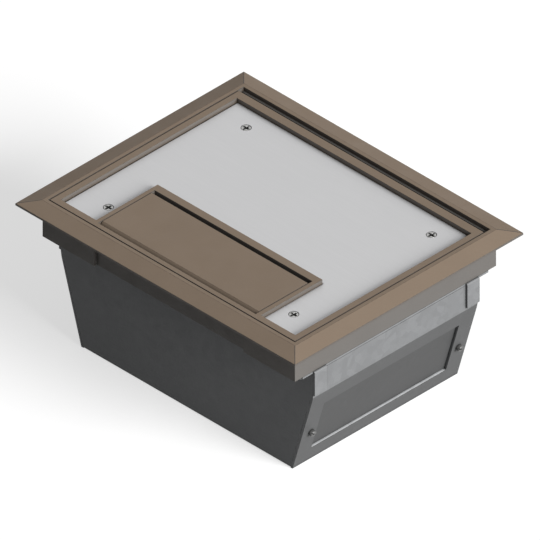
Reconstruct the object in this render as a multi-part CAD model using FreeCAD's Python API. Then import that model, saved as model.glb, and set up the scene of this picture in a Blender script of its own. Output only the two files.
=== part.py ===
import FreeCAD, Part
import math
import os

# Floor socket box: a folded steel box that hangs in a raised floor under a moulded
# trim, with a hinged lid, a cable flap in the lid and wiring accessories inside.
# Millimetres. The origin is at the centre of the underside of the base, +Z is up,
# the hinge of the lid is on the +Y side and the cable flap is on the -Y side.

os.makedirs("parts", exist_ok=True)
V = FreeCAD.Vector

# Floor level, where the trim rests
floor_height = 140.0

# Trim moulding
trim_length = 323.0
trim_width = 264.0
trim_edge = 2.0
trim_rise = 5.65
bevel_width = 15.5
rim_width = 3.7
trim_shell = 2.4
trim_foot = 3.0

# Mounting frame under the trim: a skirt, an upstand that carries the lid, and a web
skirt_wall = 3.45
skirt_depth = 31.0
side_recess = 3.0
side_recess_end = 59.75
upstand_width = 2.4
upstand_drop = 3.5
upstand_depth = 3.0
upstand_gap = 0.1
web_thick = 3.0
web_margin = 9.3
web_overhang = 3.25
gusset_size = 13.0
gusset_reach = 7.8
gusset_thick = 2.0
gusset_count = 6

# Sheet steel
ring_sheet = 2.0
box_sheet = 1.5
end_sheet = 2.5
sheet_gap = 0.05

# Box
box_inset = 36.75
base_inset = 39.5
crease_height = 81.8
box_flange = 12.0
return_width = 17.5
window_top_margin = 16.0
window_bottom_margin = 15.1
window_side_margin = 17.5
tab_width = 14.3
tab_bottom = 84.8
tab_corner = 0.9
entry_plate_margin = 4.0
entry_plate_foot = 4.8
entry_plate_side_gap = 0.2
fixing_hole_radius = 3.5
fixing_inset_x = 27.0
fixing_inset_y = 20.25

# Lid moulding
lid_gap = 0.8
lid_rear_slot = 6.5
lid_drop = 0.05
lip_thick = 3.2
lip_overhang = 2.2
lid_depth = 14.6
lid_wall = 2.4
rim_side = 6.2
rim_front = 6.6
rim_front_at_flap = 4.8
rim_rear = 8.4
plate_drop = 4.2
deck_thick = 3.0
lid_rib_thick = 1.8
lid_rib_count_x = 6
lid_rib_bottom_clear = 1.5

# Insert plate and its screws, which are placed from the edges of the lid's pocket
insert_sheet = 1.5
insert_gap = 0.4
insert_gap_left = 1.2
insert_screw_left = 30.8
insert_screw_right = 25.8
insert_screw_front = 24.1
insert_screw_rear = 20.2
insert_screw_head_radius = 4.6
insert_screw_radius = 2.4
insert_screw_length = 10.0
insert_boss_radius = 4.6
countersink_gap = 0.05
cross_length = 5.4
cross_width = 1.1
cross_depth = 1.5

# Lid hinge
hinge_axis_inset = 14.5
hinge_axis_drop = 8.7
hinge_pin_radius = 2.5
hinge_pin_length = 17.4
hinge_pin_inset = 2.0
hinge_pin_end_gap = 0.2
hinge_pin_chamfer = 0.5
pin_running_gap = 0.05
hinge_boss_length = 14.3
hinge_boss_half = 5.8
hinge_ledge_clear = 7.5

# Cable flap and its surround in the lid
flap_centre_x = 0.6
flap_side_margin = 50.9
flap_front_inset = 9.2
flap_width = 56.7
flap_thick = 3.0
flap_side_gap = 0.2
flap_rear_gap = 4.2
flap_chamfer = 2.6
surround_side = 4.4
surround_rear = 7.6
flap_seat_width = 2.5
flap_seat_gap = 0.3
flap_axis_inset = 5.9
flap_axis_drop = 5.4
flap_pin_radius = 1.25
flap_pin_gap = 0.05
knuckle_radius = 2.4
lug_radius = 2.2
lug_width = 8.0
knuckle_width = 22.0
knuckle_end = 0.6
knuckle_side_gap = 0.4
hinge_bar_drop = 3.2
hinge_bar_thick = 2.5
hinge_bar_reach = 11.4
hinge_bar_overhang = 1.0
hinge_bar_root = 2.0
swing_clear = 5.0
flap_rib_depth = 4.0
flap_rib_thick = 1.6
flap_rib_inset = 6.0
flap_rib_end = 3.0

# Fasteners
m4_radius = 1.95
m4_clear = 2.25
m4_tapped_gap = 0.1
m4_nut_flats = 7.0
m4_nut_height = 3.2
nut_gap = 0.05
cheese_head_radius = 2.9
cheese_head_height = 3.8
end_screw_length = 14.0
end_screw_inset = 10.25
end_screw_slant = 46.0
slot_width = 1.0
slot_depth = 1.3
head_round_share = 0.2
pan_head_radius = 3.8
pan_head_height = 2.6
frame_screw_length = 12.0
frame_screw_inset = 66.5
frame_screw_offset = 5.35
carrier_screw_length = 8.0
carrier_screw_inset = 11.0

# Rails, carriers and accessories
rail_top = 60.0
rail_leg = 20.0
rail_ledge = 12.0
rail_end_clear = 6.0
rail_clear = 1.5
carrier_sheet = 1.5
carrier_side_clear = 2.25
carrier_end_clear = 2.0
carrier_gap = 4.0
carrier_fold = 8.0
module_end_clear = 15.0
module_gap = 2.0
module_flange_width = 2.0
module_flange_thick = 2.5
module_corner = 2.0
module_fit = 0.2
socket_depth = 26.0
socket_wall = 3.0
socket_recess_depth = 17.5
socket_pin_radius = 2.6
socket_pin_depth = 8.0
socket_pin_pitch = 19.0
clip_width = 4.5
clip_side_gap = 0.1
clip_thick = 0.9
clip_height = 15.0
clip_groove = 0.6
clip_lean = 1.2
data_depth = 22.0
port_width = 14.2
port_height = 12.4
port_depth = 15.0
port_pitch = 20.0
port_key_width = 6.4
port_key_height = 3.0
divider_sheet = 1.5
divider_side_gap = 0.3
divider_foot = 12.0
divider_top = 57.0
divider_window_length = 44.0
divider_window_height = 16.0
divider_window_sill = 8.0
divider_window_corner = 4.8

# Share of the clip's height, and share of its lean there, from the foot up
clip_shape = ((0.0, 0.0), (0.3, 0.1), (0.75, 1.0), (1.0, 0.4))

# Earth stud
stud_radius = 3.0
stud_length = 20.0
stud_chamfer = 0.6
stud_flange_radius = 5.5
stud_flange_height = 1.2
stud_inset_x = 26.0
stud_inset_y = 45.25
m6_nut_flats = 10.0
m6_nut_height = 5.0
m6_washer_radius = 6.0
m6_washer_height = 1.2

# How far a cutting tool reaches past a face, and how far joined shapes run into each other
overcut = 1.0
merge = 0.5
rib_root = 1.0

# Sizes that follow from those above
trim_top = floor_height + trim_rise
opening_length = trim_length - 2 * (bevel_width + rim_width)
opening_width = trim_width - 2 * (bevel_width + rim_width)
skirt_length = opening_length + 2 * skirt_wall
skirt_width = opening_width + 2 * skirt_wall
skirt_bottom = floor_height - skirt_depth
side_recess_length = skirt_length - 2 * side_recess_end
upstand_top = trim_top - upstand_drop
upstand_inner_x = opening_length / 2 - upstand_width
upstand_inner_y = opening_width / 2 - upstand_width
ring_bottom = skirt_bottom - ring_sheet
box_width = trim_width - 2 * box_inset
base_length = trim_length - 2 * base_inset
web_opening_length = opening_length - 2 * web_margin
web_opening_width = box_width - 2 * web_overhang
box_half = box_width / 2
wall_x = skirt_length / 2
base_x = base_length / 2
slant_angle = math.atan((wall_x - base_x) / crease_height)
slant_length = crease_height / math.cos(slant_angle)
window_half = box_half - window_side_margin
box_inner_y = box_half - box_sheet
end_screw_y = box_half - end_screw_inset
frame_screw_x = trim_length / 2 - frame_screw_inset
frame_screw_y = box_half + frame_screw_offset
fixing_x = base_x - fixing_inset_x
fixing_y = box_half - fixing_inset_y
lid_top = trim_top - lid_drop
lid_half = opening_length / 2 - lid_gap
lid_front_y = -opening_width / 2 + lid_gap
lid_rear_y = opening_width / 2 - lid_rear_slot
lid_bottom = lid_top - lid_depth
lid_body_half = lid_half - lip_overhang
lid_body_front_y = lid_front_y + lip_overhang
pocket_half = lid_half - rim_side
pocket_front_y = lid_front_y + rim_front
pocket_rear_y = lid_rear_y - rim_rear
plate_top = lid_top - plate_drop
deck_top = plate_top - insert_sheet
deck_bottom = deck_top - deck_thick
hinge_y = opening_width / 2 - hinge_axis_inset
hinge_z = lid_top - hinge_axis_drop
pin_start_x = lid_body_half - hinge_boss_length + hinge_pin_inset
flap_length = 2 * (lid_half - flap_side_margin)
flap_front_y = lid_front_y + flap_front_inset
flap_rear_y = flap_front_y + flap_width
flap_axis_y = flap_rear_y - flap_axis_inset
flap_axis_z = lid_top - flap_axis_drop
flap_bottom = lid_top - flap_thick
well_half = flap_length / 2 + flap_side_gap
well_left_x = flap_centre_x - well_half
well_right_x = flap_centre_x + well_half
well_front_y = lid_front_y + rim_front_at_flap
well_rear_y = flap_rear_y + flap_rear_gap
surround_half = well_half + surround_side
surround_rear_y = well_rear_y + surround_rear
hinge_bar_front_y = flap_axis_y - hinge_bar_reach
hinge_bar_rear_y = flap_axis_y + hinge_bar_overhang
hinge_bar_top = flap_axis_z - hinge_bar_drop
seat_end_y = flap_axis_y - swing_clear
knuckle_pitch = (flap_length - 2 * knuckle_end) / 3
rail_length = base_length - 2 * rail_end_clear
rail_reach_y = box_inner_y - rail_ledge - rail_clear
carrier_pitch = (base_length - 2 * carrier_end_clear) / 3
carrier_width = carrier_pitch - carrier_gap
carrier_length = 2 * (box_inner_y - carrier_side_clear)
carrier_screw_half = carrier_width / 2 - carrier_screw_inset
carrier_screw_y = box_inner_y - sheet_gap - rail_ledge / 2
carrier_bottom = rail_top + sheet_gap
carrier_top = carrier_bottom + carrier_sheet
module_pitch = (carrier_length - 2 * module_end_clear) / 3
module_flange = module_pitch - module_gap
module_size = module_flange - 2 * module_flange_width
module_top = carrier_top + module_flange_thick
socket_recess_radius = module_size / 2 - socket_wall
stud_x = base_x - stud_inset_x
stud_y = stud_inset_y - box_half
UP = V(0, 0, 1)


def block(x0, x1, y0, y1, z0, z1):
    return Part.makeBox(x1 - x0, y1 - y0, z1 - z0, V(x0, y0, z0))


def centred(length, width, z0, z1, x=0.0, y=0.0):
    return block(x - length / 2, x + length / 2, y - width / 2, y + width / 2, z0, z1)


def rod(radius, length, start, direction=UP):
    return Part.makeCylinder(radius, length, start, direction)


def rectangle(length, width, z):
    corners = [V(sx * length / 2, sy * width / 2, z) for sx, sy in ((-1, -1), (1, -1), (1, 1), (-1, 1))]
    return Part.makePolygon(corners + corners[:1])


def frustum(length0, width0, z0, length1, width1, z1):
    return Part.makeLoft([rectangle(length0, width0, z0), rectangle(length1, width1, z1)], True, True)


def prism(points, vector):
    return Part.Face(Part.makePolygon(points + points[:1])).extrude(vector)


def fuse(shapes):
    shapes = list(shapes)
    return shapes[0].multiFuse(shapes[1:]).removeSplitter()


def cut(shape, tools):
    return shape.cut(Part.Compound(list(tools)))


def mirror_x(shape):
    return shape.mirror(V(0, 0, 0), V(1, 0, 0))


def mirror_y(shape):
    return shape.mirror(V(0, 0, 0), V(0, 1, 0))


def save(name, shape):
    shape.exportStep("parts/" + name + ".step")


# The slanted end: s runs down the slant from the crease, n points out of the box
def slant_point(s, n, y):
    down = V(-math.sin(slant_angle), 0, -math.cos(slant_angle))
    out = V(math.cos(slant_angle), 0, -math.sin(slant_angle))
    return V(wall_x, y, crease_height) + down * s + out * n


def slant_block(s0, s1, y0, y1, n0, n1):
    corners = [slant_point(s, n, y0) for s, n in ((s0, n0), (s1, n0), (s1, n1), (s0, n1))]
    return prism(corners, V(0, y1 - y0, 0))


def slant_rod(radius, s, y, n0, n1):
    outwards = slant_point(0, 1, 0) - slant_point(0, 0, 0)
    return rod(radius, abs(n1 - n0), slant_point(s, min(n0, n1), y), outwards)


# The end profile, moved inwards by an offset: x at the bottom, height of the crease, x above it
def end_line(offset, z_bottom, z_top):
    shift = offset / math.cos(slant_angle)
    slope = math.tan(slant_angle)
    crease = crease_height + (shift - offset) / slope
    return [
        V(base_x - shift + z_bottom * slope, 0, z_bottom),
        V(wall_x - offset, 0, crease),
        V(wall_x - offset, 0, z_top),
    ]


def end_band(offset0, offset1, z_bottom, z_top, y0, y1):
    outer = end_line(offset0, z_bottom, z_top)
    inner = end_line(offset1, z_bottom, z_top)
    points = [V(p.x, y0, p.z) for p in outer + inner[::-1]]
    return prism(points, V(0, y1 - y0, 0))


# Fasteners, each drawn with its seat at the origin and its shank down -Z
def hex_prism(flats, height, z0):
    radius = flats / math.sqrt(3)
    angles = [k * math.pi / 3 for k in range(6)]
    corners = [V(radius * math.cos(a), radius * math.sin(a), z0) for a in angles]
    return prism(corners, V(0, 0, height))


def nut(flats, height, bore):
    return hex_prism(flats, height, 0).cut(rod(bore, height, V(0, 0, 0)))


def slotted_screw(head_radius, head_height, shank_radius, length):
    head = rod(head_radius, head_height, V(0, 0, 0))
    head = head.makeFillet(head_height * head_round_share, [head.Edges[0]])
    body = fuse([head, rod(shank_radius, length, V(0, 0, -length))])
    slot = centred(3 * head_radius, slot_width, head_height - slot_depth, 2 * head_height)
    return body.cut(slot)


def countersunk_screw():
    cone_depth = insert_screw_head_radius - insert_screw_radius
    profile = [
        V(0, 0, 0),
        V(insert_screw_head_radius, 0, 0),
        V(insert_screw_radius, 0, -cone_depth),
        V(insert_screw_radius, 0, -insert_screw_length),
        V(0, 0, -insert_screw_length),
    ]
    body = Part.Face(Part.makePolygon(profile + profile[:1])).revolve(V(0, 0, 0), UP, 360)
    arms = [
        centred(cross_length, cross_width, -cross_depth, overcut),
        centred(cross_width, cross_length, -cross_depth, overcut),
    ]
    return cut(body, arms)


def placed(shape, position, turn=None):
    copy = shape.copy()
    if turn:
        copy.rotate(V(0, 0, 0), turn[0], turn[1])
    copy.translate(position)
    return copy


def insert_screw_places():
    columns = (insert_screw_left - pocket_half, pocket_half - insert_screw_right)
    rows = (pocket_front_y + insert_screw_front, pocket_rear_y - insert_screw_rear)
    return [V(x, y, 0) for x in columns for y in rows]


def frame_screw_places():
    return [V(k * frame_screw_x, sy * frame_screw_y, 0) for k in (-1, 0, 1) for sy in (-1, 1)]


def carrier_screw_places(x):
    return [V(x + sx * carrier_screw_half, sy * carrier_screw_y, 0) for sx in (-1, 1) for sy in (-1, 1)]


def carrier_places():
    return [k * carrier_pitch for k in (-1, 0, 1)]


def module_places():
    return [k * module_pitch for k in (-1, 0, 1)]


# Trim: a mitred bevel over the floor edge, hollow underneath
def make_trim():
    edge_top = floor_height + trim_edge
    crown_length = trim_length - 2 * bevel_width
    crown_width = trim_width - 2 * bevel_width
    body = fuse([
        centred(trim_length, trim_width, floor_height, edge_top),
        frustum(trim_length, trim_width, edge_top, crown_length, crown_width, trim_top),
    ])
    hollow_length = trim_length - 2 * trim_foot
    hollow_width = trim_width - 2 * trim_foot
    bevel_slope = (trim_top - edge_top) / bevel_width
    foot_top = max(edge_top + trim_foot * bevel_slope - trim_shell, floor_height)
    lower = frustum(hollow_length, hollow_width, floor_height - overcut, hollow_length, hollow_width, foot_top)
    upper = frustum(hollow_length, hollow_width, foot_top, crown_length, crown_width, trim_top - trim_shell)
    inner_wall = centred(skirt_length, skirt_width, floor_height - 2 * overcut, trim_top)
    hollow = fuse([lower, upper]).cut(inner_wall)
    opening = centred(opening_length, opening_width, floor_height - overcut, trim_top + overcut)
    return cut(body, [hollow, opening])


# Mounting frame: the skirt steps in along the middle of both long sides
def make_mounting_frame():
    recess_y = skirt_width / 2 - side_recess
    recess_x = side_recess_length / 2
    outer = centred(skirt_length, skirt_width, skirt_bottom, floor_height)
    step = block(-recess_x, recess_x, recess_y, skirt_width, skirt_bottom - overcut, floor_height)
    steps = [step, mirror_y(step)]
    inner = centred(opening_length, 2 * upstand_inner_y, skirt_bottom - overcut, floor_height + overcut)
    pocket = block(
        recess_x + skirt_wall, opening_length / 2, -opening_width / 2, opening_width / 2,
        skirt_bottom + web_thick, floor_height - upstand_depth,
    )
    wall = cut(outer, steps + [inner, pocket, mirror_x(pocket)])
    web = centred(opening_length + overcut, opening_width + overcut, skirt_bottom, skirt_bottom + web_thick)
    web_opening = centred(web_opening_length, web_opening_width, skirt_bottom - overcut, floor_height)
    web = cut(web, steps + [web_opening])
    body = fuse([wall, make_upstand(), web] + gussets())
    holes = [rod(m4_clear, 2 * web_thick, p + V(0, 0, skirt_bottom - overcut)) for p in frame_screw_places()]
    pin_reach = hinge_pin_length + pin_running_gap + hinge_pin_end_gap
    for side in (-1, 1):
        start = V(side * pin_start_x, hinge_y, hinge_z)
        holes.append(rod(hinge_pin_radius + pin_running_gap, pin_reach, start, V(side, 0, 0)))
    return cut(body, holes)


# Ring that carries the lid, lowered at the ends where the lip of the lid swings down
def make_upstand():
    length = opening_length - 2 * upstand_gap
    width = opening_width - 2 * upstand_gap
    upstand = centred(length, width, floor_height - upstand_depth, upstand_top)
    inside = centred(2 * upstand_inner_x, 2 * upstand_inner_y, skirt_bottom, trim_top)
    swing_front = hinge_y - hinge_ledge_clear
    swing = block(upstand_inner_x, opening_length / 2, swing_front, upstand_inner_y, skirt_bottom, trim_top)
    return cut(upstand, [inside, swing, mirror_x(swing)])


def gussets():
    root = skirt_bottom + web_thick - merge
    pitch = side_recess_length / gusset_count
    result = []
    for k in range(gusset_count):
        x = (k + 0.5) * pitch - side_recess_length / 2 - gusset_thick / 2
        points = [
            V(x, upstand_inner_y + merge, root),
            V(x, upstand_inner_y - gusset_reach, root),
            V(x, upstand_inner_y + merge, skirt_bottom + web_thick + gusset_size),
        ]
        rib = prism(points, V(gusset_thick, 0, 0))
        result += [rib, mirror_y(rib)]
    return result


# Hanging ring: a flat frame under the skirt with a tab folded down at each corner
def make_hanging_ring():
    outer_y = box_half + box_flange
    ring = centred(2 * wall_x, 2 * outer_y, ring_bottom, skirt_bottom)
    opening = centred(web_opening_length, web_opening_width, ring_bottom - overcut, skirt_bottom + overcut)
    ring = ring.cut(opening)
    tab_inner = wall_x + sheet_gap
    tab_outer = tab_inner + ring_sheet
    y0 = box_half - tab_width
    root = block(wall_x - overcut, tab_outer, y0, box_half, ring_bottom, skirt_bottom)
    leg = block(tab_inner, tab_outer, y0, box_half, tab_bottom, skirt_bottom)
    leg = leg.makeFillet(tab_corner, [e for e in leg.Edges if is_lower_corner(e)])
    tabs = [root, leg, mirror_y(root), mirror_y(leg)]
    body = fuse([ring] + tabs + [mirror_x(t) for t in tabs])
    holes = [rod(m4_clear, 2 * ring_sheet, p + V(0, 0, ring_bottom - overcut)) for p in frame_screw_places()]
    return cut(body, holes)


def is_lower_corner(edge):
    box = edge.BoundBox
    half = ring_sheet / 2
    return box.XLength > half and box.YLength < half and box.ZMax < tab_bottom + half


# Folded box: base, two long sides with flanges, and returns that carry the end panels
def make_box_tray():
    skin = end_sheet + sheet_gap
    back = skin + box_sheet + sheet_gap
    line = end_line(skin, 0, ring_bottom)
    outline = [V(p.x, -box_half, p.z) for p in line]
    outline += [V(-p.x, -box_half, p.z) for p in line[::-1]]
    side = prism(outline, V(0, box_sheet, 0))
    corners = [line[0], end_line(skin, box_sheet, ring_bottom)[0]]
    base_outline = [V(p.x, -box_half, p.z) for p in corners]
    base_outline += [V(-p.x, -box_half, p.z) for p in corners[::-1]]
    base = prism(base_outline, V(0, box_width, 0))
    flange = block(-wall_x + skin, wall_x - skin, -box_half - box_flange, -box_half + box_sheet,
                   ring_bottom - box_sheet, ring_bottom)
    fold = end_band(back, back + box_sheet, 0, ring_bottom - box_sheet, -box_half, -box_half + return_width)
    fold = fold.cut(slant_rod(m4_radius + m4_tapped_gap, end_screw_slant, -end_screw_y, -4 * end_sheet, 0))
    half = [side, flange, fold, mirror_x(fold)]
    body = fuse([base] + half + [mirror_y(s) for s in half])
    holes = [
        rod(fixing_hole_radius, 3 * box_sheet, V(sx * fixing_x, sy * fixing_y, -box_sheet))
        for sx in (-1, 1)
        for sy in (-1, 1)
    ]
    tapped = m4_radius + m4_tapped_gap
    drop = V(0, 0, ring_bottom - 2 * box_sheet)
    holes += [rod(tapped, 3 * box_sheet, p + drop) for p in frame_screw_places()]
    return cut(body, holes)


# End panel with its rectangular window, and the plain entry plate that closes the window
def make_end_panel():
    panel = end_band(0, end_sheet, 0, ring_bottom - sheet_gap, -box_half, box_half)
    window_bottom = slant_length - window_bottom_margin
    window = slant_block(window_top_margin, window_bottom, -window_half, window_half, -2 * end_sheet, end_sheet)
    places = (-end_screw_y, end_screw_y)
    holes = [slant_rod(m4_clear, end_screw_slant, y, -2 * end_sheet, end_sheet) for y in places]
    return cut(panel, [window] + holes)


def make_entry_plate():
    n1 = -end_sheet - sheet_gap
    n0 = n1 - box_sheet
    reach = box_inner_y - entry_plate_side_gap
    plate = slant_block(entry_plate_margin, slant_length - entry_plate_foot, -reach, reach, n0, n1)
    return cut(plate, [slant_rod(m4_clear, end_screw_slant, sy * end_screw_y, 2 * n0, 0) for sy in (-1, 1)])


def end_fasteners():
    screw = slotted_screw(cheese_head_radius, cheese_head_height, m4_radius, end_screw_length)
    nut_seat = -end_sheet - 2 * (box_sheet + sheet_gap) - sheet_gap
    hexagon = nut(m4_nut_flats, m4_nut_height, m4_radius + nut_gap)
    turn = (V(0, 1, 0), 90 + math.degrees(slant_angle))
    screws = []
    nuts = []
    for y in (-end_screw_y, end_screw_y):
        screw_here = placed(screw, slant_point(end_screw_slant, sheet_gap, y), turn)
        nut_here = placed(hexagon, slant_point(end_screw_slant, nut_seat - m4_nut_height, y), turn)
        screws += [screw_here, mirror_x(screw_here)]
        nuts += [nut_here, mirror_x(nut_here)]
    return Part.Compound(screws), Part.Compound(nuts)


def frame_fasteners():
    screw = slotted_screw(pan_head_radius, pan_head_height, m4_radius, frame_screw_length)
    hexagon = nut(m4_nut_flats, m4_nut_height, m4_radius + nut_gap)
    head_z = skirt_bottom + web_thick + sheet_gap
    nut_z = ring_bottom - box_sheet - sheet_gap - m4_nut_height
    screws = [placed(screw, p + V(0, 0, head_z)) for p in frame_screw_places()]
    nuts = [placed(hexagon, p + V(0, 0, nut_z)) for p in frame_screw_places()]
    return Part.Compound(screws), Part.Compound(nuts)


# Rail on the inside of a long side, welded on, with a ledge for the carriers
def make_rail():
    outer = -box_inner_y + sheet_gap
    half = rail_length / 2
    leg = block(-half, half, outer, outer + box_sheet, rail_top - rail_leg, rail_top)
    ledge = block(-half, half, outer, outer + rail_ledge, rail_top - box_sheet, rail_top)
    tapped = m4_radius + m4_tapped_gap
    places = [p + V(0, 0, rail_top - 2 * box_sheet) for x in carrier_places() for p in carrier_screw_places(x)]
    return cut(fuse([leg, ledge]), [rod(tapped, 3 * box_sheet, p) for p in places])


# Divider between the wiring spaces: narrower at the top, where it passes between the rails
def make_divider():
    base_top = box_sheet + sheet_gap
    reach_low = box_inner_y - divider_side_gap
    shoulder = rail_top - rail_leg - rail_clear
    half_sheet = divider_sheet / 2
    line = [(reach_low, base_top), (reach_low, shoulder), (rail_reach_y, shoulder), (rail_reach_y, divider_top)]
    points = [V(-half_sheet, y, z) for y, z in line]
    points += [V(-half_sheet, -y, z) for y, z in line[::-1]]
    wall = prism(points, V(divider_sheet, 0, 0))
    foot = block(-half_sheet, divider_foot, -reach_low, reach_low, base_top, base_top + divider_sheet)
    sill = base_top + divider_window_sill
    windows = []
    for y in (-divider_window_length, divider_window_length):
        window = centred(4 * divider_sheet, divider_window_length, sill, sill + divider_window_height, 0, y)
        corners = [e for e in window.Edges if e.BoundBox.XLength > divider_sheet]
        windows.append(window.makeFillet(divider_window_corner, corners))
    return cut(fuse([wall, foot]), windows)


# Carrier plate across the box, folded down along both edges, with three square apertures
def make_carrier():
    plate = centred(carrier_width, carrier_length, carrier_bottom, carrier_top)
    fold_x = (carrier_width - carrier_sheet) / 2
    fold = centred(carrier_sheet, 2 * rail_reach_y, carrier_top - carrier_fold, carrier_top, fold_x)
    hole = module_size + 2 * module_fit
    below = carrier_bottom - overcut
    apertures = [centred(hole, hole, below, carrier_top + overcut, 0, y) for y in module_places()]
    holes = [rod(m4_clear, 3 * carrier_sheet, p + V(0, 0, below)) for p in carrier_screw_places(0)]
    return cut(fuse([plate, fold, mirror_x(fold)]), apertures + holes)


def carrier_fasteners():
    screw = slotted_screw(pan_head_radius, pan_head_height, m4_radius, carrier_screw_length)
    places = [p for x in carrier_places() for p in carrier_screw_places(x)]
    return Part.Compound([placed(screw, p + V(0, 0, carrier_top + sheet_gap)) for p in places])


def module_blank(depth):
    flange_bottom = carrier_top + sheet_gap
    flange = centred(module_flange, module_flange, flange_bottom, module_top)
    upright = [e for e in flange.Edges if e.BoundBox.ZLength > module_flange_thick / 2]
    flange = flange.makeFillet(module_corner, upright)
    body = centred(module_size, module_size, module_top - depth, flange_bottom + merge)
    return fuse([flange, body])


# Power socket: a deep round recess with two pin holes and a groove for each earth clip
def make_power_socket():
    recess_bottom = module_top - socket_recess_depth
    tools = [rod(socket_recess_radius, socket_recess_depth + overcut, V(0, 0, recess_bottom))]
    groove = clip_width + 2 * clip_side_gap
    for side in (-1, 1):
        start = V(side * socket_pin_pitch / 2, 0, recess_bottom - socket_pin_depth)
        tools.append(rod(socket_pin_radius, socket_pin_depth + overcut, start))
        groove_y = side * socket_recess_radius
        tools.append(centred(groove, 2 * clip_groove, recess_bottom, module_top + overcut, 0, groove_y))
    return cut(module_blank(socket_depth), tools)


# Earth clip: a thin strip that leans into the recess at its top
def make_earth_clip():
    foot = module_top - socket_recess_depth + sheet_gap
    outer = socket_recess_radius + clip_groove - sheet_gap
    left = -clip_width / 2
    front = [V(left, outer - clip_lean * lean, foot + clip_height * rise) for rise, lean in clip_shape]
    back = [p - V(0, clip_thick, 0) for p in front[::-1]]
    return prism(front + back, V(clip_width, 0, 0))


# Data outlet with two keyed ports side by side
def make_data_outlet():
    floor = module_top - port_depth
    key_y = merge - (port_height + port_key_height) / 2
    tools = []
    for x in (-port_pitch / 2, port_pitch / 2):
        tools.append(centred(port_width, port_height, floor, module_top + overcut, x, 0))
        tools.append(centred(port_key_width, port_key_height, floor, module_top + overcut, x, key_y))
    return cut(module_blank(data_depth), tools)


def make_earth_stud():
    base_top = box_sheet + sheet_gap
    origin = V(stud_x, stud_y, base_top)
    body = fuse([rod(stud_flange_radius, stud_flange_height, origin), rod(stud_radius, stud_length, origin)])
    tip = [e for e in body.Edges if e.BoundBox.ZMin > base_top + stud_length / 2]
    return body.makeChamfer(stud_chamfer, tip[:1])


def make_earth_nuts():
    bore = stud_radius + nut_gap
    washer = rod(m6_washer_radius, m6_washer_height, V(0, 0, 0)).cut(rod(bore, m6_washer_height, V(0, 0, 0)))
    hexagon = nut(m6_nut_flats, m6_nut_height, bore)
    washer_z = box_sheet + 2 * sheet_gap + stud_flange_height
    nut_z = washer_z + m6_washer_height + sheet_gap
    washer = placed(washer, V(stud_x, stud_y, washer_z))
    hexagon = placed(hexagon, V(stud_x, stud_y, nut_z))
    return Part.Compound([washer, hexagon])


# Lid moulding: a rim with a lip, a sunk deck, ribs below and the surround of the flap
def make_lid():
    top = block(-lid_half, lid_half, lid_front_y, lid_rear_y, lid_top - lip_thick, lid_top)
    body = block(-lid_body_half, lid_body_half, lid_body_front_y, lid_rear_y, lid_bottom, lid_top)
    pocket = block(-pocket_half, pocket_half, pocket_front_y, pocket_rear_y, deck_top, lid_top + overcut)
    inner_half = lid_body_half - lid_wall
    inner_front = lid_body_front_y + lid_wall
    inner_rear = lid_rear_y - lid_wall
    under = block(-inner_half, inner_half, inner_front, inner_rear, lid_bottom - overcut, deck_bottom)
    shell = cut(fuse([top, body]), [pocket, under])
    surround = block(
        flap_centre_x - surround_half, flap_centre_x + surround_half,
        pocket_front_y - overcut, surround_rear_y, deck_bottom, lid_top,
    )
    solid = fuse([shell, surround] + lid_ribs() + hinge_bosses() + insert_bosses())
    solid = cut(solid, flap_ways())
    bar = block(
        well_left_x - hinge_bar_root, well_right_x + hinge_bar_root, hinge_bar_front_y, hinge_bar_rear_y,
        hinge_bar_top - hinge_bar_thick, hinge_bar_top,
    )
    return cut(fuse([solid, bar] + flap_lugs()), lid_holes())


# What the flap needs in the lid: its well, the way for the cables and the way for its rear edge
def flap_ways():
    seat_top = flap_bottom - flap_seat_gap
    below = lid_bottom - overcut
    return [
        block(well_left_x, well_right_x, well_front_y, well_rear_y, seat_top, lid_top + overcut),
        block(
            well_left_x + flap_seat_width, well_right_x - flap_seat_width,
            well_front_y + lid_wall, well_rear_y, below, lid_top,
        ),
        block(well_left_x, well_right_x, seat_end_y, well_rear_y, below, lid_top),
    ]


def lid_ribs():
    low = lid_bottom + lid_rib_bottom_clear
    high = deck_bottom + merge
    half = lid_rib_thick / 2
    pitch = 2 * lid_body_half / lid_rib_count_x
    ribs = []
    for k in range(1, lid_rib_count_x):
        x = k * pitch - lid_body_half
        ribs.append(block(x - half, x + half, hinge_bar_front_y, lid_rear_y - rib_root, low, high))
    reach = lid_body_half - rib_root
    for y in (surround_rear_y, (surround_rear_y + pocket_rear_y) / 2):
        ribs.append(block(-reach, reach, y - half, y + half, low, high))
    for x in (well_left_x - half, well_right_x + half):
        ribs.append(block(x - half, x + half, lid_body_front_y + rib_root, surround_rear_y, low, high))
    return ribs


def hinge_bosses():
    inner = lid_body_half - hinge_boss_length
    boss = block(inner, lid_body_half, hinge_y - hinge_boss_half, lid_rear_y - rib_root, lid_bottom, deck_top)
    return [boss, mirror_x(boss)]


def insert_bosses():
    height = deck_top - lid_bottom
    return [rod(insert_boss_radius, height, p + V(0, 0, lid_bottom)) for p in insert_screw_places()]


def countersink(top):
    depth = insert_screw_head_radius - insert_screw_radius
    bore = insert_screw_radius + countersink_gap
    cone = Part.makeCone(bore, insert_screw_head_radius + countersink_gap, depth, V(0, 0, top - depth))
    return fuse([cone, rod(bore, 4 * insert_screw_length, V(0, 0, top - 3 * insert_screw_length))])


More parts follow.
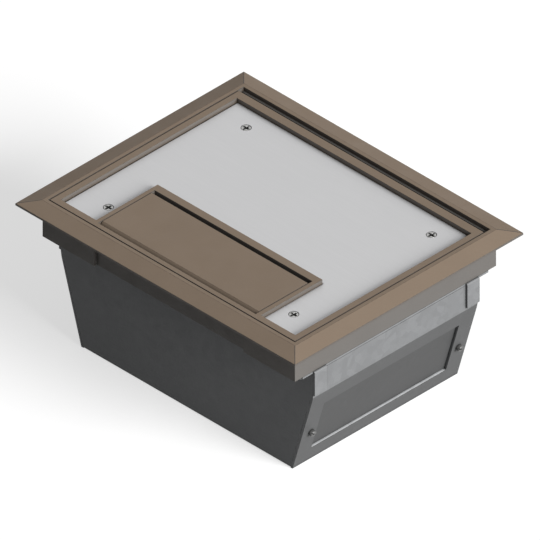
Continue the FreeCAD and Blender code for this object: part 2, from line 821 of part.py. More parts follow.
def lid_holes():
    keep = centred(trim_length, trim_width, lid_bottom - overcut, deck_top + overcut)
    holes = [placed(countersink(plate_top), p).common(keep) for p in insert_screw_places()]
    for side in (-1, 1):
        start = V(side * (lid_body_half - hinge_boss_length - overcut), hinge_y, hinge_z)
        holes.append(rod(hinge_pin_radius + pin_running_gap, 2 * hinge_boss_length, start, V(side, 0, 0)))
    reach = well_half - flap_seat_width / 2
    start = V(flap_centre_x - reach, flap_axis_y, flap_axis_z)
    holes.append(rod(flap_pin_radius + flap_pin_gap, 2 * reach, start, V(1, 0, 0)))
    return holes


def lug_places():
    half = knuckle_width / 2 + knuckle_side_gap + lug_width / 2
    return [k * knuckle_pitch + side * half for k in (-1, 0, 1) for side in (-1, 1)]


# Lugs that stand on the hinge bar and hold the pin of the flap
def flap_lugs():
    front = flap_axis_y - lug_radius
    lugs = []
    for x in lug_places():
        x0 = flap_centre_x + x - lug_width / 2
        x1 = x0 + lug_width
        stem = block(x0, x1, front, hinge_bar_rear_y, hinge_bar_top - merge, flap_axis_z)
        foot = block(x0, x1, front - lug_radius, front, hinge_bar_top - merge, flap_axis_z - overcut)
        lugs += [stem, foot, rod(lug_radius, lug_width, V(x0, flap_axis_y, flap_axis_z), V(1, 0, 0))]
    return lugs


def make_insert_plate():
    plate = block(
        -pocket_half + insert_gap_left, pocket_half - insert_gap,
        pocket_front_y + insert_gap, pocket_rear_y - insert_gap, deck_top, plate_top,
    )
    notch_half = surround_half + insert_gap
    notch = block(
        flap_centre_x - notch_half, flap_centre_x + notch_half,
        pocket_front_y - overcut, surround_rear_y + insert_gap, deck_top - overcut, plate_top + overcut,
    )
    return cut(plate, [notch] + [placed(countersink(plate_top), p) for p in insert_screw_places()])


def make_hinge_pins():
    pin = rod(hinge_pin_radius, hinge_pin_length, V(pin_start_x, hinge_y, hinge_z), V(1, 0, 0))
    ends = [
        e for e in pin.Edges
        if e.BoundBox.XLength < hinge_pin_chamfer and e.BoundBox.YLength > hinge_pin_radius
    ]
    pin = pin.makeChamfer(hinge_pin_chamfer, ends)
    return Part.Compound([pin, mirror_x(pin)])


# Cable flap: a flat panel with a bevelled finger edge, two ribs and three hinge knuckles
def make_flap():
    half = flap_length / 2 - flap_side_gap
    x0 = flap_centre_x - half
    finger_y = flap_front_y - flap_chamfer
    profile = [
        V(x0, flap_rear_y, flap_bottom),
        V(x0, finger_y, flap_bottom),
        V(x0, finger_y, lid_top - flap_chamfer),
        V(x0, flap_front_y, lid_top),
        V(x0, flap_rear_y, lid_top),
    ]
    parts = [prism(profile, V(2 * half, 0, 0))]
    root = flap_bottom + merge
    rib_length = 2 * (half - flap_seat_width - flap_rib_end)
    for y in (flap_front_y + flap_rib_inset, (flap_front_y + hinge_bar_front_y) / 2):
        parts.append(centred(rib_length, flap_rib_thick, flap_bottom - flap_rib_depth, root, flap_centre_x, y))
    for k in (-1, 0, 1):
        middle = flap_centre_x + k * knuckle_pitch
        left = V(middle - knuckle_width / 2, flap_axis_y, flap_axis_z)
        parts.append(rod(knuckle_radius, knuckle_width, left, V(1, 0, 0)))
        parts.append(centred(knuckle_width, 2 * knuckle_radius, flap_axis_z, root, middle, flap_axis_y))
    bore_start = V(flap_centre_x - well_half, flap_axis_y, flap_axis_z)
    bore = rod(flap_pin_radius + flap_pin_gap, 2 * well_half, bore_start, V(1, 0, 0))
    return fuse(parts).cut(bore)


def make_flap_pin():
    reach = lug_places()[-1] + lug_width / 2
    return rod(flap_pin_radius, 2 * reach, V(flap_centre_x - reach, flap_axis_y, flap_axis_z), V(1, 0, 0))


def build_frame_and_box():
    save("trim_frame", make_trim())
    save("mounting_frame", make_mounting_frame())
    save("hanging_ring", make_hanging_ring())
    save("box_tray", make_box_tray())
    panel = make_end_panel()
    save("end_panel_right", panel)
    save("end_panel_left", mirror_x(panel))
    plate = make_entry_plate()
    save("entry_plate_right", plate)
    save("entry_plate_left", mirror_x(plate))
    screws, nuts = end_fasteners()
    save("end_panel_screws", screws)
    save("end_panel_nuts", nuts)
    screws, nuts = frame_fasteners()
    save("frame_screws", screws)
    save("frame_nuts", nuts)


def build_inside():
    rail = make_rail()
    save("support_rail_front", rail)
    save("support_rail_rear", mirror_y(rail))
    divider = placed(make_divider(), V(carrier_pitch / 2, 0, 0))
    save("divider_right", divider)
    save("divider_left", mirror_x(divider))
    save("earth_stud", make_earth_stud())
    save("earth_nuts", make_earth_nuts())
    save("carrier_screws", carrier_fasteners())
    left, middle, right = carrier_places()
    carrier = make_carrier()
    for number, x in enumerate((left, middle, right), 1):
        save("accessory_carrier_" + str(number), placed(carrier, V(x, 0, 0)))
    socket = make_power_socket()
    clip = make_earth_clip()
    clips = []
    places = [V(x, y, 0) for x in (left, right) for y in module_places()]
    for number, place in enumerate(places, 1):
        save("power_socket_" + str(number), placed(socket, place))
        clips += [placed(clip, place), placed(mirror_y(clip), place)]
    save("earth_clips", Part.Compound(clips))
    outlet = make_data_outlet()
    for number, y in enumerate(module_places(), 1):
        save("data_outlet_" + str(number), placed(outlet, V(middle, y, 0)))


def build_lid():
    save("lid_moulding", make_lid())
    save("lid_insert_plate", make_insert_plate())
    screw = countersunk_screw()
    screws = [placed(screw, p + V(0, 0, plate_top)) for p in insert_screw_places()]
    save("insert_plate_screws", Part.Compound(screws))
    save("lid_hinge_pins", make_hinge_pins())
    save("cable_flap", make_flap())
    save("flap_hinge_pin", make_flap_pin())


build_frame_and_box()
build_inside()
build_lid()
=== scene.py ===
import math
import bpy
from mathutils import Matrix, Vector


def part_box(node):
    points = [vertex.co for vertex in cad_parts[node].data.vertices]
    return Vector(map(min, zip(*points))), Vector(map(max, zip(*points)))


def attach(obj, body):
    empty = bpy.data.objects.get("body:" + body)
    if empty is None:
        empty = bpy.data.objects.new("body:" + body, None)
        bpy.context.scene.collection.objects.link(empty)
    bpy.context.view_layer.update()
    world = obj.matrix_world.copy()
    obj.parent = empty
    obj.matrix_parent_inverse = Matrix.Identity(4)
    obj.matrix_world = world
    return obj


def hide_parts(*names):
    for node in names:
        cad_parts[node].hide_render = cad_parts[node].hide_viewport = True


bl_info = {
    "name": "Floor Socket Box",
    "version": (1, 0, 0),
    "blender": (4, 5, 0),
    "location": "3D View > Sidebar > Floor Box",
    "description": "Finishes a floor socket box: mouldings, sheet, screws, outlets and its studio",
    "category": "Object",
}

import bmesh
import bpy
from mathutils import Euler, Vector

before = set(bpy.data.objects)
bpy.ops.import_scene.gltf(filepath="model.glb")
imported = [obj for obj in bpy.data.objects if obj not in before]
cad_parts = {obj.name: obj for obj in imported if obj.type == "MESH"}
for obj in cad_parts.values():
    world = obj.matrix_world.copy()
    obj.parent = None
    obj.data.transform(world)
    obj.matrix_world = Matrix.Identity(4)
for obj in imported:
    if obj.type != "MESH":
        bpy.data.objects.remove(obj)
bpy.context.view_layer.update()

MM = 0.001
HAIR = 0.01 * MM
WELD = HAIR / 10
BAND = "edge_band"
TURN = "turn"
TONE = "sheet_tone"
FINISH = "finish_"
FLAT_ANGLE = math.radians(0.4)
FOLD_ANGLE = math.radians(8)
CREASE_ANGLE = math.radians(25)
SHARP_ANGLE = math.radians(32)
SMOOTH_ANGLE = math.radians(36)
UP = Vector((0, 0, 1))
UNTURNED = Euler((0, 0, 0))
WHITE = (1, 1, 1, 1)
FLOOR_HALF = 8.0
FLOOR_DROP = 0.02 * MM
CAMERA_DISTANCE = 1.4
SHEET = "galvanised_sheet"
ZINC = "zinc_fastener"


def number(name, description, value, **kind):
    return bpy.props.FloatProperty(name=name, description=description, default=value, **kind)


def triple(name, description, values, **kind):
    return bpy.props.FloatVectorProperty(name=name, description=description, default=values, **kind)


def colour(name, description, *levels):
    """A colour whose default is given in screen levels from 0 to 255."""
    shares = [level / 255 for level in levels]
    linear = tuple(s / 12.92 if s <= 0.04045 else ((s + 0.055) / 1.055) ** 2.4 for s in shares)
    return triple(name, description, linear, min=0, max=1, subtype="COLOR")


def length(name, description, millimetres):
    return number(name, description, millimetres * MM, min=0, unit="LENGTH", subtype="DISTANCE")


def share(name, description, value):
    return number(name, description, value, min=0, max=1, subtype="FACTOR")


def relative_tone(name, description, value):
    return number(name, description, value, min=-1, max=4)


class FLOORBOX_PG_colours(bpy.types.PropertyGroup):
    """Colours of the finishes"""

    brown: colour("Brown moulding", "Trim, lid and cable flap", 124, 109, 94)
    brown_edge: colour("Brown edge", "Edges of the brown mouldings, where dirt settles", 56, 46, 37)
    grey: colour("Grey moulding", "Mounting frame under the trim", 95, 92, 89)
    grey_edge: colour("Grey edge", "Edges of the grey moulding", 40, 38, 36)
    sheet: colour("Folded sheet", "Box, end panels, ring, rails and carriers", 110, 111, 112)
    sheet_edge: colour("Cut sheet edge", "Cut edges of the folded sheet", 158, 159, 160)
    bright: colour("Insert plate", "Bright sheet in the lid", 200, 200, 201)
    zinc: colour("Zinc plating", "Screws, nuts and pins", 186, 186, 184)
    zinc_edge: colour("Zinc edge", "Edges of screws and nuts", 222, 222, 220)
    dull_zinc: colour("Dull zinc", "Cheese heads of the end panels", 104, 104, 103)
    white: colour("White moulding", "Power and data outlets", 226, 226, 222)
    dark: colour("Dark moulding", "Shutters and port liners", 44, 44, 46)
    brass: colour("Brass", "Earth clips, contacts and earth stud", 196, 164, 96)


class FLOORBOX_PG_sizes(bpy.types.PropertyGroup):
    """Sizes that the finish adds to the solids"""

    moulding_round: length("Moulding rounding", "Radius on the edges of the mouldings", 0.3)
    sheet_round: length("Sheet rounding", "Radius on cut sheet edges", 0.15)
    fold_round: length("Fold radius", "Outer radius of the folds of the box", 1.7)
    ring_fold_round: length("Tab fold radius", "Outer radius where the tabs of the ring are folded", 1.5)
    crease_round: length("Crease radius", "Radius of the soft crease across the end panels", 4)
    outlet_round: length("Outlet rounding", "Radius on the rims of the outlets", 0.6)
    outlet_edge: length("Outlet edges", "Radius on the inner edges of the outlets", 0.16)
    joint_reach: length("Joint reach", "How far from a joint its dirt reaches", 1.3)
    step_depth: length("Skirt step", "How far in from its long sides the skirt's steps may lie", 4)
    step_inset: length("Skirt step inset", "How far from its ends the skirt's steps start", 10)
    cover_head: length("Cover screw head", "Radius of the countersunk heads in the insert plate", 4.0)
    cross_reach: length("Cross reach", "Half the length of the cross recess", 3.65)
    cross_width: length("Cross width", "Width of the wings of the cross recess", 1.8)
    cross_depth: length("Cross depth", "Depth of the cross recess", 2.5)
    m4_core: length("M4 core", "Core radius of the M4 screws", 1.62)
    m4_pitch: length("M4 pitch", "Thread pitch of the M4 screws", 0.7)
    contact_pitch: length("Contact pitch", "Distance between the contacts of a data port", 1.02)
    contact_width: length("Contact width", "Width of one contact of a data port", 0.42)
    clip_thick: length("Clip thickness", "Thickness of the earth clips", 0.7)


class FLOORBOX_PG_tones(bpy.types.PropertyGroup):
    """How much lighter or darker than the rest of its material each part is; the walls, ledges, entry plates,
    sides, steps and hollows carry painted light and shade, and the joints and cut edges are dark dirt and rust
    """

    # Painted light and shade on the end panels: the upright part a little lighter and the slanted part darker,
    # as the light falls on them.
    wall: relative_tone("Upright wall", "Upright part of the end panels", 0.06)
    slant_shade: relative_tone("Slanted wall", "Slanted part of the end panels", -0.46)
    # Painted highlight: upward faces of the end panels, such as the window ledges, are lightened as if lit
    # from above.
    ledge: relative_tone("Window ledge", "Bare cut edge at the foot of each window", 2.3)
    # Painted shade on the plates behind the windows.
    entry: relative_tone("Entry plate", "Plates behind the windows", -0.59)
    ring: relative_tone("Hanging ring", "Ring and its tabs", 0.12)
    # Painted shade on the upright sides of the mouldings.
    side: relative_tone("Moulding sides", "Upright sides of lid and trim, which nothing polishes", -0.5)
    joint: relative_tone("Joints", "Edges along mitres and joints, where dirt settles", -0.75)
    # Painted light on the skirt steps, which lie in shade under the trim.
    step: relative_tone("Skirt steps", "Short faces where the skirt steps in, rubbed in fitting", 2.6)
    cut: relative_tone("Cut edges", "Edges of the end panels and the ring, where the zinc is cut", -0.7)
    # Painted shade in the cross recesses and countersinks of the cover screws.
    hollow_shade: relative_tone("Hollows", "Cross recesses and countersinks of the cover screws", -0.85)


class FLOORBOX_PG_stage(bpy.types.PropertyGroup):
    """Light, floor and camera"""

    key: number("Key light", "Strength of the key light", 5.8, min=0)
    key_from: triple("Key direction", "Where the key light comes from", (2.6, 0.28, 1.08), subtype="DIRECTION")
    key_spread: number("Key spread", "Apparent size of the key light", math.radians(34), subtype="ANGLE")
    sky: share("Sky", "Level of the light from all around", 0.22)
    floor_bounce: share("Floor bounce", "Share of light that the floor throws back on the object", 0.12)
    floor_glow: number("Floor glow", "Light of the floor to the eye, which keeps it white", 1.18, min=0)
    shadow: share("Shadow", "How strong the shadow on the floor is", 0.5)
    view_width: length("View width", "Width of the camera's view", 440.9)
    aim: triple(
        "Aim", "Point that the camera looks at", (0.0004, 0.0004, 0.0901), unit="LENGTH", subtype="XYZ"
    )


def sizes():
    return bpy.context.scene.floorbox_sizes


def tones():
    return bpy.context.scene.floorbox_tones


def add_node(tree, kind, inputs=None, **settings):
    """Adds a node; each input is a value or the output socket that feeds it."""
    node = tree.nodes.new(kind)
    for key, value in settings.items():
        setattr(node, key, value)
    for key, value in (inputs or {}).items():
        if isinstance(value, bpy.types.NodeSocket):
            tree.links.new(value, node.inputs[key])
        else:
            node.inputs[key].default_value = value
    return node


def maths(tree, operation, first, second):
    return add_node(tree, "ShaderNodeMath", {0: first, 1: second}, operation=operation).outputs[0]


def face_value(tree, name):
    """What the faces of a piece carry under this name."""
    node = add_node(tree, "ShaderNodeAttribute", attribute_type="GEOMETRY", attribute_name=name)
    return node.outputs["Fac"]


def noise(tree, place, scale, detail, roughness=0.5):
    inputs = {"Vector": place, "Scale": scale, "Detail": detail, "Roughness": roughness}
    return add_node(tree, "ShaderNodeTexNoise", inputs).outputs["Fac"]


def spread(tree, value, low, high, from_low=0.3, from_high=0.7):
    """Maps a texture's middle range onto low to high."""
    inputs = {"Value": value, "From Min": from_low, "From Max": from_high, "To Min": low, "To Max": high}
    return add_node(tree, "ShaderNodeMapRange", inputs, clamp=True).outputs["Result"]


def blend_colours(tree, factor, first, second):
    """Blends two colours, each a plain colour or the socket that gives it."""
    pair = [c if isinstance(c, bpy.types.NodeSocket) else (*c, 1) for c in (first, second)]
    inputs = {0: factor, 6: pair[0], 7: pair[1]}
    return add_node(tree, "ShaderNodeMix", inputs, data_type="RGBA").outputs[2]


def flecked(tree, texture, most, first, second):
    """Lets the second colour through by a texture, up to the share most where it is strongest."""
    return blend_colours(tree, spread(tree, texture, 0, most), first, second)


def tone(value, factor):
    return tuple(min(1.0, v * factor) for v in value)


def emptied(owner):
    """The node tree of a material or a world, without the nodes that it starts with."""
    owner.use_nodes = True
    owner.node_tree.nodes.clear()
    return owner.node_tree


def begin_finish(name):
    """The tree of a new finish, and the object's own coordinates in it."""
    tree = emptied(bpy.data.materials.new(FINISH + name))
    return tree, add_node(tree, "ShaderNodeTexCoord").outputs["Object"]


def drawn_out(tree, place, along, across):
    """Coordinates for a grain that runs along the object's length."""
    inputs = {"Vector": place, "Scale": (along, across, across)}
    return add_node(tree, "ShaderNodeMapping", inputs).outputs["Vector"]


def worn_edges(tree, place, amount):
    """Where an edge is rounded, patches of it are worn."""
    patches = spread(tree, noise(tree, place, 260, 4), 0.25, 1.0)
    return maths(tree, "MULTIPLY", maths(tree, "MULTIPLY", face_value(tree, BAND), patches), amount)


def paint_corner_shade(tree, body, base, reach, depth):
    """Paints shade into the colour: darkens it in corners and narrow gaps, by how closed in each point is."""
    room = add_node(tree, "ShaderNodeAmbientOcclusion", {"Distance": reach * MM}, samples=6)
    open_share = spread(tree, room.outputs["AO"], 0, 1, 0.35, 0.95)
    return blend_colours(tree, open_share, tone(base, 1 - depth), body)


def sheet_tone(tree, body):
    """Lightens the colour by the tone of each face, or darkens it and takes colour out of it; these tones hold
    painted light and shade as well as dark joints and cut edges.
    """
    own = face_value(tree, TONE)
    inputs = {0: body, 1: maths(tree, "ADD", own, 1.0)}
    toned = add_node(tree, "ShaderNodeVectorMath", inputs, operation="MULTIPLY").outputs["Vector"]
    inputs = {"Color": toned, "Saturation": spread(tree, own, 0.2, 1.0, -0.7, 0.0)}
    return add_node(tree, "ShaderNodeHueSaturation", inputs).outputs["Color"]


def end_finish(
    tree, place, base, body, edge, wear, shine, relief, metallic=0.0, specular=0.5, corner_shade=(3.5, 0.65)
):
    """What every finish ends with: worn edges, the tones of the faces, painted shade in corners and gaps,
    shine and relief.

    Relief is a texture, its strength and its height; the last argument is the reach and depth of the painted
    corner shade. Lengths are in millimetres.
    """
    body = blend_colours(tree, worn_edges(tree, place, wear), body, edge)
    # The tones of the faces, then painted shade in corners and gaps.
    body = paint_corner_shade(tree, sheet_tone(tree, body), base, *corner_shade)
    texture, strength, height = relief
    inputs = {"Height": texture, "Strength": strength, "Distance": height * MM}
    bump = add_node(tree, "ShaderNodeBump", inputs)
    surface = add_node(tree, "ShaderNodeBsdfPrincipled", {
        "Base Color": body,
        "Roughness": shine,
        "Normal": bump.outputs["Normal"],
        "Metallic": metallic,
        "Specular IOR Level": specular,
    })
    add_node(tree, "ShaderNodeOutputMaterial", {"Surface": surface.outputs["BSDF"]})


def moulded(name, base, edge, roughness, specular, grain_scale, grain_height, mottle=0.035):
    """Moulded plastic: spark-eroded grain, slow cloudiness from its flow, and edges of another colour."""
    tree, place = begin_finish(name)
    cloud = noise(tree, place, 22, 5, 0.6)
    body = flecked(tree, cloud, 1, tone(base, 1 - mottle), tone(base, 1 + mottle))
    body = flecked(tree, noise(tree, place, 900, 2), 0.35, body, tone(base, 0.9))
    shine = spread(tree, noise(tree, place, 60, 4), roughness - 0.05, roughness + 0.06)
    grain = noise(tree, place, grain_scale, 2, 0.6)
    end_finish(tree, place, base, body, edge, 0.55, shine, (grain, 0.5, grain_height), specular=specular)


def rolled_sheet(name, base, edge, metallic, roughness, spangle):
    """Galvanised sheet: crystals of zinc, faint rolling lines, light cut edges."""
    tree, place = begin_finish(name)
    cells = add_node(tree, "ShaderNodeTexVoronoi", {"Vector": place, "Scale": 150.0, "Randomness": 1.0})
    crystal = add_node(tree, "ShaderNodeSeparateColor", {"Color": cells.outputs["Color"]}).outputs["Red"]
    lines = noise(tree, drawn_out(tree, place, 60, 900), 1.0, 3)
    smudge = noise(tree, place, 14, 5, 0.65)
    body = blend_colours(tree, crystal, tone(base, 1 - spangle), tone(base, 1 + spangle))
    body = flecked(tree, lines, 0.4, body, tone(base, 0.86))
    body = flecked(tree, smudge, 0.3, body, tone(base, 1.12))
    shine = maths(tree, "ADD", maths(tree, "MULTIPLY", crystal, 0.12), roughness)
    end_finish(tree, place, base, body, edge, 0.8, shine, (lines, 0.25, 0.01), metallic, 0.2)


def brushed_sheet(name, base, metallic, roughness):
    """Bright sheet with a fine grain along the plate."""
    tree, place = begin_finish(name)
    fine = noise(tree, drawn_out(tree, place, 35, 3200), 1.0, 2)
    broad = noise(tree, drawn_out(tree, place, 9, 420), 1.0, 3)
    smudge = noise(tree, place, 12, 4, 0.6)
    body = flecked(tree, fine, 1, tone(base, 0.965), tone(base, 1.03))
    body = flecked(tree, broad, 0.35, body, tone(base, 0.95))
    body = flecked(tree, smudge, 0.25, body, tone(base, 0.94))
    shine = spread(tree, fine, roughness - 0.06, roughness + 0.08)
    relief = (fine, 0.3, 0.006)
    # The last pair is the reach and depth of the painted shade in corners and gaps.
    end_finish(tree, place, base, body, tone(base, 1.2), 0.25, shine, relief, metallic, 0.4, (2.5, 0.9))


def plated(name, base, edge, metallic, roughness, tarnish):
    """Plated or bare small metal: fine pitting, dull patches and bright edges."""
    tree, place = begin_finish(name)
    patches = noise(tree, place, 320, 4, 0.6)
    pits = noise(tree, place, 2400, 2)
    body = flecked(tree, patches, tarnish, base, tone(base, 0.72))
    body = flecked(tree, pits, 0.25, body, tone(base, 0.85))
    shine = spread(tree, patches, roughness - 0.08, roughness + 0.12)
    # The last argument sets the reach and depth of the painted shade in corners and gaps.
    end_finish(tree, place, base, body, edge, 0.9, shine, (pits, 0.3, 0.008), metallic, corner_shade=(2.6, 0.92))


def finish_of(slot):
    return bpy.data.materials[FINISH + slot]


def link(name, data):
    obj = bpy.data.objects.new(name, data)
    bpy.context.scene.collection.objects.link(obj)
    return obj


def settled(obj):
    """The object with its modifiers worked into its mesh."""
    bpy.context.view_layer.update()
    graph = bpy.context.evaluated_depsgraph_get()
    mesh = bpy.data.meshes.new_from_object(obj.evaluated_get(graph), depsgraph=graph)
    obj.modifiers.clear()
    obj.data = mesh
    mesh.name = obj.name
    return obj


def merged(mesh, flatten=True):
    """An editable copy of a mesh without doubles, its triangles joined into flat faces where asked."""
    bm = bmesh.new()
    bm.from_mesh(mesh)
    bmesh.ops.remove_doubles(bm, verts=bm.verts, dist=WELD)
    if flatten:
        bmesh.ops.dissolve_limit(bm, angle_limit=FLAT_ANGLE, verts=bm.verts, edges=bm.edges)
    return bm


def written(bm, mesh):
    """Puts an edited shape into a mesh."""
    bm.to_mesh(mesh)
    bm.free()
    return mesh


def bare_object(bm, name):
    return link(name, written(bm, bpy.data.meshes.new(name)))


def band_layer(bm):
    return bm.faces.layers.float.get(BAND) or bm.faces.layers.float.new(BAND)


def round_edges(bm, radius, segments=3, chosen=None, least=SHARP_ANGLE, worn=1.0):
    """Rounds the edges that turn by more than least, and marks the new faces as an edge band."""
    band = band_layer(bm)
    edges = [
        e for e in bm.edges
        if e.is_manifold and e.calc_face_angle() > least and (chosen is None or chosen(e))
    ]
    made = bmesh.ops.bevel(
        bm, geom=edges, offset=radius, offset_type="OFFSET", segments=segments, profile=0.5,
        affect="EDGES", clamp_overlap=False,
    )
    for face in made["faces"]:
        face[band] = worn


def shade(bm):
    """Smooth faces, with hard lines where they turn too far to be one surface."""
    bm.normal_update()
    for face in bm.faces:
        face.smooth = True
    for edge in bm.edges:
        edge.smooth = edge.is_manifold and edge.calc_face_angle() < SMOOTH_ANGLE


def soften(obj, radius):
    """Rounds the sharp edges of a small body by a radius in millimetres."""
    bm = merged(obj.data)
    round_edges(bm, radius * MM, 2)
    shade(bm)
    written(bm, obj.data)
    return obj


def deliver(obj, body, node=None):
    """Hangs a finished piece on its body and hides the solid that it stands for."""
    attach(obj, body)
    if node:
        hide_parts(node)


def darken_edges(bm, edge_tone):
    """Gives rounded edges the tone that edge_tone says, without wear; None leaves an edge as it is."""
    band = band_layer(bm)
    layer = bm.faces.layers.float.get(TONE)
    for face in bm.faces:
        value = edge_tone(face) if face[band] else None
        if value is not None:
            face[band] = 0.0
            face[layer] = value


def even(value):
    """The same tone for every face."""
    return lambda face: value


def beside(*outlines):
    """An edge tone for the top edges along these outlines, where dirt settles in the joint."""
    reach = sizes().joint_reach

    def edge_tone(face):
        point = face.calc_center_median()
        for low, high in outlines:
            off = [min(abs(point[k] - low[k]), abs(point[k] - high[k])) for k in (0, 1)]
            within = [low[k] - reach < point[k] < high[k] + reach for k in (0, 1)]
            if all(within) and min(off) < reach and point.z > high.z - reach:
                return tones().joint
        return None

    return edge_tone


def side_shade_tone(face):
    """The tone of a moulding's face: painted shade makes its upright sides darker and greyer than its top."""
    return tones().side if abs(face.normal.z) < 0.2 else 0.0


def rounded_piece(
    node, name, body, slot, radius, least=SHARP_ANGLE, folds=None, fold_radius=0.0, fold_wear=0.0,
    own_tone=None, edge_tone=None,
):
    """Stands in for a solid: its folds and edges rounded, and tones on its faces and its edges."""
    bm = merged(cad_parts[node].data)
    if own_tone:
        layer = bm.faces.layers.float.new(TONE)
        for face in bm.faces:
            face[layer] = own_tone(face)
    if folds:
        round_edges(bm, fold_radius, 4, folds, FOLD_ANGLE, fold_wear)
    round_edges(bm, radius, least=least)
    if edge_tone:
        darken_edges(bm, edge_tone)
    shade(bm)
    obj = bare_object(bm, name)
    obj.data.materials.append(finish_of(slot))
    weighted = obj.modifiers.new("Flat faces", "WEIGHTED_NORMAL")
    weighted.keep_sharp = True
    weighted.weight = 80
    deliver(settled(obj), body, node)


def sheet_piece(node, name, round_share=1.0, **more):
    """A sheet piece of the box with finely broken edges."""
    rounded_piece(node, name, "box", SHEET, sizes().sheet_round * round_share, **more)


def middle(edge):
    return (edge.verts[0].co + edge.verts[1].co) / 2


def runs_along(edge, axis, least):
    """Whether an edge follows an axis and is longer than least, in millimetres."""
    span = edge.verts[1].co - edge.verts[0].co
    return abs(span[axis]) > least * MM and abs(span[axis]) > 0.999 * span.length


def fold_at(axis, least, height, *offsets):
    """Chooses the edges along X (0) or Y (1) at this height and at one of these offsets to the side."""

    def chosen(edge):
        point = middle(edge)
        off = min(abs(abs(point[1 - axis]) - abs(offset)) for offset in offsets)
        return runs_along(edge, axis, least) and abs(point.z - height) < HAIR and off < HAIR

    return chosen


def parts_of(node):
    """The corner points of each separate solid of a node."""
    bm = merged(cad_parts[node].data, flatten=False)
    left = set(bm.verts)
    groups = []
    while left:
        reach = [left.pop()]
        group = []
        while reach:
            vert = reach.pop()
            group.append(vert.co.copy())
            for edge in vert.link_edges:
                other = edge.other_vert(vert)
                if other in left:
                    left.remove(other)
                    reach.append(other)
        groups.append(group)
    bm.free()
    groups.sort(key=lambda points: [round(sum(p[k] for p in points) / len(points), 4) for k in range(3)])
    return groups


def seats(node, depth, tilt=0.0):
    """Where each fastener of a node sits, depth millimetres below its top on its axis, and its turn."""
    result = []
    for points in parts_of(node):
        side = 1 if sum(p.x for p in points) > 0 else -1
        turn = Euler((0, side * tilt, 0))
        across, ahead, axis = (turn.to_matrix() @ v for v in (Vector((1, 0, 0)), Vector((0, 1, 0)), UP))
        place = axis * (max(p.dot(axis) for p in points) - depth * MM)
        for way in (across, ahead):
            reaches = [p.dot(way) for p in points]
            place += way * (max(reaches) + min(reaches)) / 2
        result.append((place, turn))
    return result


def top_centre(node):
    low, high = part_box(node)
    return Vector(((low.x + high.x) / 2, (low.y + high.y) / 2, high.z))


def skin(rows, bm=None):
    """A closed body over rows of points in millimetres; each row is a ring, or one point on the axis."""
    bm = bmesh.new() if bm is None else bm
    rings = [[bm.verts.new([value * MM for value in point]) for point in row] for row in rows]
    for lower, upper in zip(rings, rings[1:]):
        for k in range(max(len(lower), len(upper))):
            order = ((lower, k), (lower, k + 1), (upper, k + 1), (upper, k))
            corners = [ring[step % len(ring)] for ring, step in order]
            bm.faces.new(list(dict.fromkeys(corners)))
    for end in (rings[0][::-1], rings[-1]):
        if len(end) > 2:
            bm.faces.new(end)
    bmesh.ops.recalc_face_normals(bm, faces=bm.faces)
    return bm


def lathe(profile, steps, bm=None, at_x=0.0):
    """Turns a profile of (radius, height) pairs, from axis to axis, into a closed body."""
    angles = [2 * math.pi * k / steps for k in range(steps)]
    rows = []
    for radius, height in profile:
        stops = angles if radius else angles[:1]
        rows.append([(at_x + radius * math.cos(a), radius * math.sin(a), height) for a in stops])
    return skin(rows, bm)


def block(low, high, bm=None):
    """A block between two corners in millimetres."""
    (x0, y0, z0), (x1, y1, z1) = low, high
    return skin([[(x0, y0, z), (x1, y0, z), (x1, y1, z), (x0, y1, z)] for z in (z0, z1)], bm)


def turned(name, profile, steps):
    return bare_object(lathe(profile, steps), name)


def carve(obj, shape, operation="DIFFERENCE"):
    """Takes a shape out of an object, or keeps only what lies inside it."""
    cutter = bare_object(shape, "cutter")
    modifier = obj.modifiers.new("Carve", "BOOLEAN")
    modifier.object = cutter
    modifier.operation = operation
    modifier.solver = "EXACT"
    settled(obj)
    bpy.data.objects.remove(cutter)


def new_tree(name, **inputs):
    """A geometry tree with named inputs, and its input and output nodes."""
    tree = bpy.data.node_groups.new(name, "GeometryNodeTree")
    for title, kind in {"Geometry": "Geometry", **inputs, "Finish": "Material"}.items():
        tree.interface.new_socket(title, in_out="INPUT", socket_type="NodeSocket" + kind)
    tree.interface.new_socket("Geometry", in_out="OUTPUT", socket_type="NodeSocketGeometry")
    return tree, add_node(tree, "NodeGroupInput").outputs, add_node(tree, "NodeGroupOutput")


def end_tree(tree, given, output, geometry):
    """Real copies with the finish on them, at the end of every tree."""
    real = add_node(tree, "GeometryNodeRealizeInstances", {"Geometry": geometry}).outputs["Geometry"]
    dressed = add_node(tree, "GeometryNodeSetMaterial", {"Geometry": real, "Material": given["Finish"]})
    tree.links.new(dressed.outputs["Geometry"], output.inputs["Geometry"])


def copies_on(tree, given, points, **more):
    """A copy of the given object on each point."""
    copy = add_node(tree, "GeometryNodeObjectInfo", {"Object": given["Copy"]}).outputs["Geometry"]
    inputs = {"Points": points, "Instance": copy, **more}
    return add_node(tree, "GeometryNodeInstanceOnPoints", inputs).outputs["Instances"]


def rotation(tree, angles):
    return add_node(tree, "FunctionNodeEulerToRotation", {"Euler": angles}).outputs["Rotation"]


